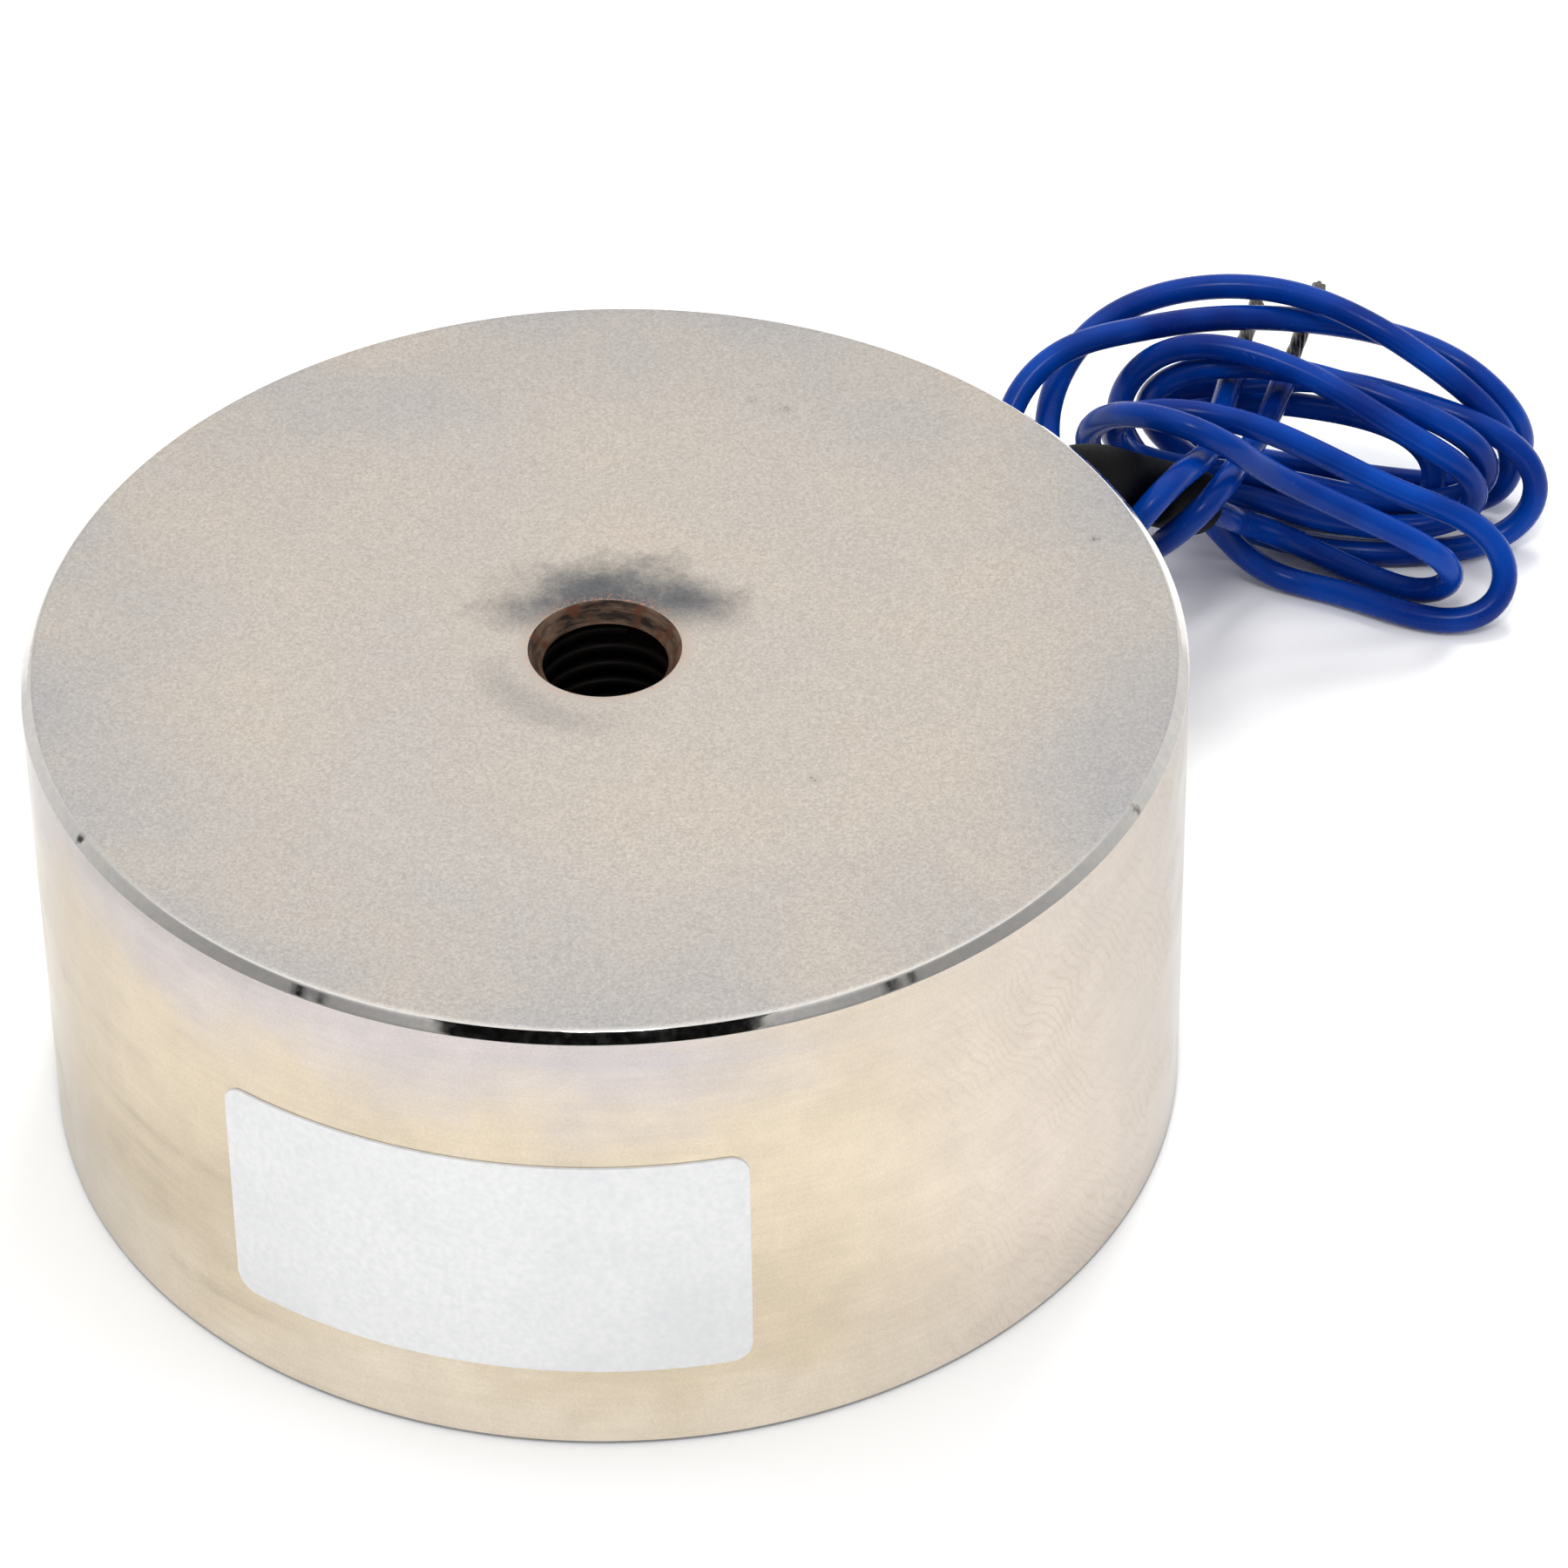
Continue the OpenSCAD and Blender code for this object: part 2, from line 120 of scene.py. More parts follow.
LAY_B = [
    (36.8, 43, 4.8), (40.2, 42.4, 1.1), (44.5, 40.8, 0.9), (48, 38.8, 0.9), (51.5, 37.6, 0.9),
    (54.2, 38.3, 1.5), (54.8, 39.8, 3.6), (53, 40.8, 5.8), (48, 41, 8.4), (43.5, 41.3, 11),
    (38.5, 41.8, 13.3), (33.8, 42.4, 13.9), (31.2, 43.4, 12.8), (30.6, 45.2, 10.2), (31.6, 46.6, 7.6),
    (34.4, 47.2, 6), (39, 47, 5.4), (43.5, 46.7, 4.4), (49, 47, 3), (52.8, 46.8, 3.6),
    (54.2, 46.2, 6), (52.8, 45.8, 8.6), (48.5, 46.6, 10.9), (42, 48.8, 12), (37, 48.9, 12.4),
    (34.2, 49, 11.4), (33, 50, 9), (33.6, 51.2, 6), (36, 51.4, 3.2), (40.5, 49.6, 1.2),
    (45.5, 48, 0.9), (49.2, 47.9, 1.1), (51.2, 48.8, 2.8), (50.6, 49.8, 5), (47.5, 51, 6.3),
    (43, 52.6, 6.4), (38.5, 53.2, 6.4), (35.8, 53.4, 5.6), (34.8, 53.4, 3.5), (36.2, 53.2, 1.5),
    (41, 51.8, 0.9), (46.5, 50.4, 0.9), (51, 49.8, 0.9), (54.6, 49.2, 1.5), (56, 49.2, 4),
    (55, 49.6, 6.9), (51.5, 50.6, 10.3), (47, 52.4, 12.8), (42, 54.9, 13.6), (36, 55.6, 13.5),
    (30.5, 53.5, 12.8), (27.2, 48.8, 11.4), (26.5, 44.5, 9.5), (28, 40.5, 7), (30.4, 36.8, 7),
    (32.6, 34.4, 9.6), (34.8, 33.6, 12.2), (36.6, 35.4, 13.2), (37.6, 38.8, 12), (38.9, 42.8, 10.6),
    (40.4, 47, 10.1), (41.6, 51, 10.1),
]


def outward(reach, side, z):
    c, s = math.cos(EXIT_BEARING), math.sin(EXIT_BEARING)
    return (c * reach - s * side, s * reach + c * side, z)


def sleeve_line(side, first, bend_steps):
    line = [outward(first, side, EXIT_Z)]
    for i in range(bend_steps + 1):
        a = BEND * i / bend_steps
        drop = BEND_R * (1 - math.cos(a))
        line.append(outward(BEND_START + BEND_R * math.sin(a), side, EXIT_Z - drop))
    x = BEND_START + BEND_R * math.sin(BEND)
    z = EXIT_Z - BEND_R * (1 - math.cos(BEND))
    for k in (0.5, 1.0):
        tail = k * SLEEVE_TAIL
        line.append(outward(x + tail * math.cos(BEND), side, z - tail * math.sin(BEND)))
    return line


route_a = sleeve_line(-LEAD_SIDE, LEAD_START, 2) + LAY_A
route_b = sleeve_line(LEAD_SIDE, LEAD_START, 2) + LAY_B
print("route points", len(route_a), len(route_b))

# %% [markdown]
# ## A smooth line
# A lead bends smoothly through its route. A Bezier curve would need handles at each point, and a plain
# spline makes small loops where points lie close. A centripetal spline has neither fault: each stretch
# takes a time that grows with the square root of its length. The result is cut into even steps.

# %% Draw a smooth line through the points
STRETCH_STEPS = 16
SETTLE_STEP = 1.0


def smooth_line(points, spacing):
    p = np.array(points, float)
    p = np.vstack([2 * p[0] - p[1], p, 2 * p[-1] - p[-2]])
    line = []
    for p0, p1, p2, p3 in zip(p, p[1:], p[2:], p[3:]):
        t1 = np.linalg.norm(p1 - p0) ** 0.5
        t2 = t1 + np.linalg.norm(p2 - p1) ** 0.5
        t3 = t2 + np.linalg.norm(p3 - p2) ** 0.5
        t = np.linspace(t1, t2, STRETCH_STEPS, endpoint=False)[:, None]
        a1 = (t1 - t) / t1 * p0 + t / t1 * p1
        a2 = (t2 - t) / (t2 - t1) * p1 + (t - t1) / (t2 - t1) * p2
        a3 = (t3 - t) / (t3 - t2) * p2 + (t - t2) / (t3 - t2) * p3
        b1 = (t2 - t) / t2 * a1 + t / t2 * a2
        b2 = (t3 - t) / (t3 - t1) * a2 + (t - t1) / (t3 - t1) * a3
        line.append((t2 - t) / (t2 - t1) * b1 + (t - t1) / (t2 - t1) * b2)
    line = np.vstack(line + [p[-2:-1]])
    run = np.concatenate([[0], np.cumsum(np.linalg.norm(np.diff(line, axis=0), axis=1))])
    even = np.linspace(0, run[-1], max(2, round(run[-1] / spacing) + 1))
    return np.stack([np.interp(even, run, line[:, k]) for k in range(3)], axis=1)


def run_length(line):
    return float(np.linalg.norm(np.diff(line, axis=0), axis=1).sum())


rough_a = smooth_line(route_a, SETTLE_STEP)
rough_b = smooth_line(route_b, SETTLE_STEP)
print("lengths before settling mm", round(run_length(rough_a), 1), round(run_length(rough_b), 1))

# %% [markdown]
# ## Settling
# A springy lead eases its own bends, can't pass through itself and lies on the table. A few hundred small
# steps do the same to both lines at once: each point is pulled straight, pulled a little back to its
# place, pushed a diameter away from other strands and off the sleeve, and lifted to the table. The part
# in the sleeve and the stripped end are held.

# %% Let the two lines settle
ROUNDS = 220
STRAIGHTEN = 0.055
PULL_HOME = 0.012
PUSH_APART = 0.4
PUSH_OFF_SLEEVE = 0.5
STRAND_GAP = LEAD_D * 1.03
SLEEVE_GAP = 2.95
OWN_STRETCH = 6.0
SLEEVED_LENGTH = 26.0
EASE_IN = (0.2, 0.4, 0.6, 0.8)
EASE_OUT = (0.5, 0.3, 0.0)
OTHER_LEAD = 10000
CLEAR_OF_WALL = 33.0
LEAD_STEP = 0.4

sleeve_axis = smooth_line(sleeve_line(0, CLEAR_OF_WALL, 8), 0.5)
home = np.vstack([rough_a, rough_b])
first_b = len(rough_a)
along = np.concatenate([np.arange(first_b), OTHER_LEAD + np.arange(len(rough_b))]) * SETTLE_STEP
free = np.ones(len(home))
held = round(SLEEVED_LENGTH / SETTLE_STEP)
for start, end in ((0, first_b), (first_b, len(home))):
    free[start:start + held] = 0
    free[start + held:start + held + len(EASE_IN)] = EASE_IN
    free[end - len(EASE_OUT):end] = EASE_OUT
far_apart = np.abs(along[:, None] - along[None, :]) > OWN_STRETCH

place = home.copy()
rows = np.arange(len(place))
for _ in range(ROUNDS):
    step = PULL_HOME * (home - place)
    for lead in (slice(0, first_b), slice(first_b, len(place))):
        q = place[lead]
        curl = q[:-2] - 2 * q[1:-1] + q[2:]
        step[lead][2:-2] -= STRAIGHTEN * (curl[:-2] - 2 * curl[1:-1] + curl[2:])
    gap = place[:, None, :] - place[None, :, :]
    dist = np.linalg.norm(gap, axis=2) + 1e-9
    close = np.where(far_apart & (dist < STRAND_GAP), (STRAND_GAP - dist) / dist, 0.0)
    step += PUSH_APART * (gap * close[:, :, None]).sum(axis=1)
    off = place[:, None, :] - sleeve_axis[None, :, :]
    reach = np.linalg.norm(off, axis=2)
    near = reach.argmin(axis=1)
    push = np.clip(SLEEVE_GAP - reach[rows, near], 0, None) / reach[rows, near]
    step += PUSH_OFF_SLEEVE * off[rows, near] * push[:, None]
    place += step * free[:, None]
    place[:, 2] = np.maximum(place[:, 2], LEAD_D / 2)

centre_a = smooth_line(place[:first_b], LEAD_STEP)
centre_b = smooth_line(place[first_b:], LEAD_STEP)
for line in (centre_a, centre_b):
    line[:, 2] = np.maximum(line[:, 2], LEAD_D / 2)
print("moved at most mm", round(float(np.abs(place - home).max()), 2))

# %% [markdown]
# ## Leads
# Each lead is fine stranded copper in a round vinyl cover, 1.6 mm over all. A tube of mesh rings would do,
# but a curve with a round bevel is that shape already, and its own line is the lead's true length.

# %% Make the two leads
def lead_curve(name, line):
    data = bpy.data.curves.new(name, "CURVE")
    data.dimensions = "3D"
    data.bevel_depth = LEAD_D / 2 * MM
    data.bevel_resolution = 5
    data.use_fill_caps = True
    spline = data.splines.new("POLY")
    spline.points.add(len(line) - 1)
    spline.points.foreach_set("co", np.hstack([line * MM, np.ones((len(line), 1))]).ravel())
    spline.use_smooth = True
    return put(name, data)


blue_lead_a = lead_curve("blue_lead_a", centre_a)
blue_lead_b = lead_curve("blue_lead_b", centre_b)
print("curve points", len(centre_a), len(centre_b))

# %% [markdown]
# ## Helpers for finishes
# Colours are picked as hex values from a screen, so one function turns them into the linear values that a
# shader needs. One small function adds a node, with its settings and links, for materials and for Geometry
# Nodes alike: a node given as an input is linked by its first output. In a Map Range node, inputs 1 and 2
# are the range that is read, and 3 and 4 the range that is given. A finish is built in layers: each one is
# a colour and the masks that, multiplied, say how much of it shows. A wave's length is 2 pi / 20 over its
# scale, so WAVE makes the scale of a wave from its real size.

# %% Define the helpers for finishes
NOISE = "ShaderNodeTexNoise"
RANGE = "ShaderNodeMapRange"
MATH = "ShaderNodeMath"
VECTOR = "ShaderNodeVectorMath"
SMOOTH = {"interpolation_type": "SMOOTHSTEP"}
WAVE = math.pi / 10


def hex_colour(code):
    parts = [int(code[i:i + 2], 16) / 255 for i in (1, 3, 5)]
    return tuple(v / 12.92 if v <= 0.04045 else ((v + 0.055) / 1.055) ** 2.4 for v in parts) + (1.0,)


def add(tree, kind, inputs=None, **settings):
    node = tree.nodes.new(kind)
    for key, value in settings.items():
        setattr(node, key, value)
    for key, value in (inputs or {}).items():
        if isinstance(value, bpy.types.Node):
            value = value.outputs[0]
        if isinstance(value, bpy.types.NodeSocket):
            tree.links.new(value, node.inputs[key])
        else:
            node.inputs[key].default_value = value
    return node


def per_mm(size):
    return 1000 / size


def new_finish(name, **values):
    material = bpy.data.materials.new(name)
    material.use_nodes = True
    tree = material.node_tree
    for key, value in values.items():
        tree.nodes["Principled BSDF"].inputs[key.replace("_", " ")].default_value = value
    return material, tree, add(tree, "ShaderNodeTexCoord").outputs["Object"]


def paint(tree, ground, layers):
    base = hex_colour(ground)
    for code, *masks in layers:
        cover = masks[0]
        for mask in masks[1:]:
            cover = add(tree, MATH, {0: cover, 1: mask}, operation="MULTIPLY")
        mix = add(tree, "ShaderNodeMix", {0: cover, 6: base, 7: hex_colour(code)}, data_type="RGBA")
        base = mix.outputs[2]
    return base


def dress(tree, base, gloss, relief=None, strength=0.0, depth=0.0):
    shader = tree.nodes["Principled BSDF"]
    tree.links.new(base, shader.inputs["Base Color"])
    tree.links.new(gloss.outputs[0], shader.inputs["Roughness"])
    if relief is not None:
        bump = add(tree, "ShaderNodeBump", {"Strength": strength, "Distance": depth * MM, "Height": relief})
        tree.links.new(bump.outputs[0], shader.inputs["Normal"])


print("white is", hex_colour("#ffffff"), "and a middle grey is", round(hex_colour("#808080")[0], 3))

# %% [markdown]
# ## Nickel on the faces
# The back face was faced on a lathe, blasted a little dull and then plated. Handling left cool grey clouds
# near the rim, and the tapping left a dark smear behind the hole and a faint ring before it. A picture
# could be painted for it, but masks on Object coordinates need no picture and keep their real size: a
# distance from the middle, a window along X or Y, and noise to break the edge.

# %% Satin nickel for the faces
# Blasted nickel scatters the light, so the eye sees a soft, warm grey with a fine sparkle and no image.
NICKS = [(8.3, 22.7), (10.2, 21.8), (27.6, 9.2), (11.5, -11.7), (-28.8, -15.6)]

satin_nickel, tree, where = new_finish("satin_nickel_plate", Metallic=1.0)
split = add(tree, "ShaderNodeSeparateXYZ", {0: where})
flat = add(tree, "ShaderNodeCombineXYZ", {0: split.outputs[0], 1: split.outputs[1]})
radius = add(tree, VECTOR, {0: flat}, operation="LENGTH").outputs["Value"]
# The real grain is nearer 0.05 mm. It is drawn at 0.17 mm, so that it shows.
grain = add(tree, NOISE, {"Vector": where, "Scale": per_mm(0.17), "Detail": 2.0, "Roughness": 0.7})
cloud = add(tree, NOISE, {"Vector": where, "Scale": per_mm(16), "Detail": 3.0, "Roughness": 0.5})
blotch = add(tree, NOISE, {"Vector": where, "Scale": per_mm(2.4), "Detail": 5.0, "Roughness": 0.65})
warm_cool = add(tree, RANGE, {0: cloud, 1: 0.35, 2: 0.68})
rim = add(tree, RANGE, {0: radius, 1: 20 * MM, 2: 33 * MM})
uneven = add(tree, RANGE, {0: cloud, 1: 0.35, 2: 0.68, 3: 0.3, 4: 0.95})
behind = add(tree, RANGE, {0: split.outputs[1], 1: 0.5 * MM, 2: 4.5 * MM}, **SMOOTH)
before = add(tree, RANGE, {0: split.outputs[1], 1: 1 * MM, 2: -4 * MM}, **SMOOTH)
leftward = add(tree, RANGE, {0: split.outputs[0], 1: 4 * MM, 2: -4 * MM}, **SMOOTH)
drift = add(tree, VECTOR, {0: flat, 1: (0.4 * MM, 0, 0)}, operation="DISTANCE").outputs["Value"]
ragged = add(tree, MATH, {0: blotch, 1: -6 * MM, 2: drift}, operation="MULTIPLY_ADD")
close = add(tree, RANGE, {0: ragged, 1: 6.8 * MM, 2: 1.8 * MM, 4: 0.95}, **SMOOTH)
swirl = add(
    tree, "ShaderNodeTexWave",
    {"Vector": where, "Scale": per_mm(4.4) * WAVE, "Distortion": 1.5, "Detail": 2.0},
    wave_type="RINGS", rings_direction="Z",
)
ring = add(tree, RANGE, {0: ragged, 1: 7.0 * MM, 2: 4.0 * MM, 4: 0.35}, **SMOOTH)
copper = add(tree, RANGE, {0: radius, 1: 5.1 * MM, 2: 4.3 * MM, 4: 0.7})
speckle = add(tree, RANGE, {0: grain, 1: 0.5, 2: 0.62})
layers = [
    ("#cec7c0", warm_cool),
    ("#b7b6b7", rim, uneven),
    ("#63666a", close, behind),
    ("#8d8b89", ring, before, leftward, swirl.outputs[1]),
    ("#c08a6c", copper, speckle),
]
for x, y in NICKS:
    gap = add(tree, VECTOR, {0: flat, 1: (x * MM, y * MM, 0)}, operation="DISTANCE").outputs["Value"]
    nick = add(tree, RANGE, {0: gap, 1: 0.5 * MM, 2: 0.15 * MM, 4: 0.8})
    layers.append(("#4a4542", nick, speckle))
base = paint(tree, "#d5cabd", layers)
sparkle = add(tree, RANGE, {0: grain, 1: 0.2, 2: 0.8, 3: 0.74, 4: 1.22})
base = add(tree, VECTOR, {0: base, 1: sparkle}, operation="MULTIPLY").outputs[0]
gloss = add(tree, RANGE, {0: grain, 1: 0.2, 2: 0.8, 3: 0.30, 4: 0.40})
dress(tree, base, gloss, grain, 0.15, 0.02)
print("finish", satin_nickel.name, "nodes", len(tree.nodes))

# %% [markdown]
# ## Nickel on the side
# The side was turned with a fine feed and plated bright. Fine lines run round it, the plating is a little
# wavy in patches, and there is a cool lilac bloom under the front of the rim. The colour is also painted
# lighter low down and darker near the top. This is painted light that evens out the shade of the table near
# the base, which the lower side reflects. An anisotropic shader would stretch the reflections, but the
# photograph shows soft ones, so the lines are noise that is squeezed until it runs round the pot, and a
# little relief.

# %% Bright nickel for the side
# Bright nickel over turning lines shows the table as a soft, warm mirror, darker at a grazing angle.
TURNED = (0.07, 0.07, 1.0)

turned_nickel, tree, where = new_finish(
    "turned_nickel_plate", Metallic=1.0, Specular_Tint=hex_colour("#e0e0e0"))
split = add(tree, "ShaderNodeSeparateXYZ", {0: where})
squeeze = add(tree, VECTOR, {0: where, 1: TURNED}, operation="MULTIPLY")
# The grain and the feed are nearer 0.05 and 0.1 mm. They are drawn at 0.13 and 0.35 mm, so that they show.
grain = add(tree, NOISE, {"Vector": where, "Scale": per_mm(0.13), "Detail": 2.0, "Roughness": 0.7})
lines = add(tree, NOISE, {"Vector": squeeze, "Scale": per_mm(0.35), "Detail": 3.0, "Roughness": 0.6})
streak = add(tree, NOISE, {"Vector": squeeze, "Scale": per_mm(2.2), "Detail": 3.0, "Distortion": 0.6})
cloud = add(tree, NOISE, {"Vector": where, "Scale": per_mm(9), "Detail": 4.0, "Roughness": 0.55})
mottle = add(tree, NOISE, {"Vector": where, "Scale": per_mm(3.0), "Detail": 4.0, "Roughness": 0.6})
ripple = add(
    tree, "ShaderNodeTexWave",
    {"Vector": where, "Scale": per_mm(0.5) * WAVE, "Distortion": 14.0, "Detail": 1.0, "Detail Scale": 0.45},
    bands_direction="DIAGONAL",
).outputs[1]
patchy = add(tree, RANGE, {0: cloud, 1: 0.40, 2: 0.64}, **SMOOTH)
uneven = add(tree, MATH, {0: cloud, 1: 16 * MM, 2: split.outputs[2]}, operation="MULTIPLY_ADD")
high = add(tree, RANGE, {0: uneven, 1: 28 * MM, 2: 38 * MM}, **SMOOTH)
# Painted light: a lighter tone low on the side evens out the table's shade that the lower side reflects.
low = add(tree, RANGE, {0: uneven, 1: 16 * MM, 2: 9 * MM, 4: 0.8}, **SMOOTH)
rightward = add(tree, RANGE, {0: split.outputs[0], 1: 10 * MM, 2: 26 * MM, 4: 0.8}, **SMOOTH)
leftward = add(tree, RANGE, {0: split.outputs[0], 1: -8 * MM, 2: -22 * MM}, **SMOOTH)
frontward = add(tree, RANGE, {0: split.outputs[0], 1: 14 * MM, 2: 0, 3: 0.25}, **SMOOTH)
stain = add(tree, RANGE, {0: streak, 1: 0.50, 2: 0.72, 4: 0.6})
dark_line = add(tree, RANGE, {0: ripple, 1: 0.6, 2: 1.0, 4: 0.23})
wavy = add(tree, MATH, {0: patchy, 1: rightward}, operation="MULTIPLY")
base = paint(tree, "#d1c3ad", [
    ("#dad0c0", low),
    ("#c8c0be", high, frontward),
    ("#cec4bb", rightward),
    ("#a99f8c", stain, leftward, patchy),
    ("#bcb8bc", stain, high, frontward),
    ("#a58f76", dark_line, wavy),
])
line_tone = add(tree, RANGE, {0: lines, 1: 0.25, 2: 0.75, 3: 0.93, 4: 1.01})
grain_tone = add(tree, RANGE, {0: grain, 1: 0.2, 2: 0.8, 3: 0.88, 4: 1.10})
mottle_tone = add(tree, RANGE, {0: mottle, 1: 0.3, 2: 0.7, 3: 0.94, 4: 1.04})
# Painted light: lighter at the foot and darker at the top, evening out the shade of the table near the base.
painted_light_rise = add(tree, RANGE, {0: split.outputs[2], 1: 0.0, 2: 30 * MM, 3: 1.18, 4: 0.93})
for tone in (line_tone, grain_tone, mottle_tone, painted_light_rise):
    base = add(tree, VECTOR, {0: base, 1: tone}, operation="MULTIPLY").outputs[0]
gloss = add(tree, RANGE, {0: patchy, 3: 0.16, 4: 0.26})
swell = add(tree, MATH, {0: ripple, 1: wavy}, operation="MULTIPLY")
relief = add(tree, MATH, {0: lines, 1: 0.22, 2: swell}, operation="MULTIPLY_ADD")
dress(tree, base, gloss, relief, 0.25, 0.03)
print("finish", turned_nickel.name, "nodes", len(tree.nodes))

# %% [markdown]
# ## Bright rim
# The chamfer round the back face is a fresh tool cut under the plating, so it is the mirror of the part.
# It could be left to the side's finish, but it is what catches the eye first, so it has its own: almost
# smooth, with two small dark nicks where the edge was knocked.

# %% Mirror nickel for the chamfer
# A cut without grain is a mirror: the bright room shows white in it, and the dark panels sharp and black.
POT_R = 32.5
POT_H = 30.0
BACK_CHAMFER = 0.6
RIM_NICKS = [(-151.3, 0.9), (-26.3, 0.7)]


def rim_point(bearing):
    a = math.radians(bearing)
    outwards = Vector((math.cos(a), math.sin(a), 0))
    half = BACK_CHAMFER / 2
    return ((POT_R - half) * outwards + Vector((0, 0, POT_H - half))) * MM, outwards


mirror_nickel, tree, where = new_finish("bright_cut_nickel", Metallic=1.0)
fleck = add(tree, NOISE, {"Vector": where, "Scale": per_mm(0.5), "Detail": 2.0})
tone = add(tree, RANGE, {0: fleck, 1: 0.3, 2: 0.75})
chip = add(tree, RANGE, {0: fleck, 1: 0.38, 2: 0.60})
layers = [("#d4d3d2", tone)]
for bearing, strength in RIM_NICKS:
    spot = rim_point(bearing)[0]
    gap = add(tree, VECTOR, {0: where, 1: spot}, operation="DISTANCE").outputs["Value"]
    nick = add(tree, RANGE, {0: gap, 1: 0.5 * MM, 2: 0.15 * MM, 4: strength}, **SMOOTH)
    layers.append(("#262321", nick, chip))
gloss = add(tree, RANGE, {0: fleck, 1: 0.3, 2: 0.75, 3: 0.05, 4: 0.12})
dress(tree, paint(tree, "#e2ddd6", layers), gloss)
print("finish", mirror_nickel.name, "nodes", len(tree.nodes))

# %% [markdown]
# ## Rusty mouth and bare bore
# The threaded hole was kept out of the plating bath. Its countersink has gone brown in rings that the tool
# left, and the bore and the coil groove are oily bare steel. Their near-black is also painted shade, for the
# shade deep in the bore. The lower edge wears the same near-black as a painted shadow line where it meets
# the table. Noise that is squeezed towards the axis runs in rings, as on the side, so no drawn rings are
# needed.

# %% Rusty steel and oiled steel
# Rust on cut steel is a dull brown with dark rings and a few orange spots.
RUST_RINGS = (0.16, 0.16, 1.0)

rusty_steel, tree, where = new_finish("rusty_bore_steel", Metallic=0.35)
rings = add(tree, VECTOR, {0: where, 1: RUST_RINGS}, operation="MULTIPLY")
scale = add(tree, NOISE, {"Vector": rings, "Scale": per_mm(0.4), "Detail": 4.0, "Roughness": 0.7})
spots = add(tree, NOISE, {"Vector": where, "Scale": per_mm(1.1), "Detail": 3.0})
tone = add(tree, RANGE, {0: scale, 1: 0.38, 2: 0.62})
orange = add(tree, RANGE, {0: spots, 1: 0.52, 2: 0.7})
gloss = add(tree, RANGE, {0: spots, 3: 0.38, 4: 0.66})
base = paint(tree, "#1e110b", [("#6a5342", tone), ("#57301c", orange)])
dress(tree, base, gloss, scale, 0.5, 0.05)

# Oil on bare steel is dark, and this near-black is also painted shade: deep in the bore, and as a shadow
# line along the lower edge. A faint line shows at each turn.
oiled_steel_and_shade, tree, where = new_finish("oiled_steel_painted_shade", Metallic=0.5, Specular_IOR_Level=0.2)
speck = add(tree, NOISE, {"Vector": where, "Scale": per_mm(0.6), "Detail": 3.0})
gloss = add(tree, RANGE, {0: speck, 3: 0.4, 4: 0.7})
dress(tree, paint(tree, "#030202", [("#15100d", speck)]), gloss)
print("finishes", rusty_steel.name, oiled_steel_and_shade.name)

# %% [markdown]
# ## The pot
# A turned part is its outline spun round an axis. A stack of cylinders would need its edges rounded
# afterwards, so the whole section is listed instead, from the middle of the holding face, round the coil
# groove and the outside, to the drill point of the hole. Each corner has a small radius, because a real
# edge always catches a line of light, and a support point beside the radius keeps the flat next to it flat.

# %% Round the corners of the pot's section
POLE_R = 14.0
GROOVE_R = 28.0
GROOVE_TOP = 22.5
FACE_CHAMFER = 0.3
MOUTH_R = 4.3
NECK_R = 3.5
NECK_Z = 28.9
ROOT_R = 4.0
ROOT_TOP = 28.5
ROOT_END = 16.8
DRILL_POINT = 14.8
CORNER_STEPS = 4
MOST_CUT = 0.3
SUPPORT = 0.15
MOST_SUPPORT = 0.2
FACE, SIDE, RIM, MOUTH, BARE_AND_SHADED = range(5)
# Each corner has a radius from the axis, a height, an edge radius, and the finish of what follows it.
SECTION = [
    (0, 0, 0, FACE),
    (POLE_R, 0, 0.15, BARE_AND_SHADED),
    (POLE_R, GROOVE_TOP, 0, BARE_AND_SHADED),
    (GROOVE_R, GROOVE_TOP, 0, BARE_AND_SHADED),
    (GROOVE_R, 0, 0.15, FACE),
    # The lower chamfer takes the near-black steel as a painted shadow line where the pot meets the table.
    (POT_R - FACE_CHAMFER, 0, 0.05, BARE_AND_SHADED),
    (POT_R, FACE_CHAMFER, 0.05, SIDE),
    (POT_R, POT_H - BACK_CHAMFER, 0.05, RIM),
    (POT_R - BACK_CHAMFER, POT_H, 0.4, FACE),
    (MOUTH_R, POT_H, 0.08, MOUTH),
    (NECK_R, NECK_Z, 0.05, BARE_AND_SHADED),
    (ROOT_R, ROOT_TOP, 0, BARE_AND_SHADED),
    (ROOT_R, ROOT_END, 0, BARE_AND_SHADED),
    (0, DRILL_POINT, 0, BARE_AND_SHADED),
]


def rounded_section(corners):
    line = []
    for i, (r, z, fillet, finish) in enumerate(corners):
        here = np.array([r, z], float)
        if not fillet:
            line.append((here, finish))
            continue
        last_finish = corners[i - 1][3]
        before = np.array(corners[i - 1][:2], float) - here
        after = np.array(corners[i + 1][:2], float) - here
        short = min(np.linalg.norm(before), np.linalg.norm(after))
        u = before / np.linalg.norm(before)
        v = after / np.linalg.norm(after)
        half = math.acos(float(np.clip(u @ v, -1, 1))) / 2
        cut = min(fillet / math.tan(half), MOST_CUT * short)
        bulge = cut * math.tan(half)
        mid = here + (u + v) / np.linalg.norm(u + v) * bulge / math.sin(half)
        a = here + u * cut - mid
        b = here + v * cut - mid
        spare = min(SUPPORT, MOST_SUPPORT * short)
        line.append((here + u * (cut + spare), last_finish))
        for k in range(CORNER_STEPS + 1):
            t = k / CORNER_STEPS
            arc = a * (1 - t) + b * t
            line.append((mid + arc / np.linalg.norm(arc) * bulge, last_finish if t < 0.5 else finish))
        line.append((here + v * (cut + spare), finish))
    return line


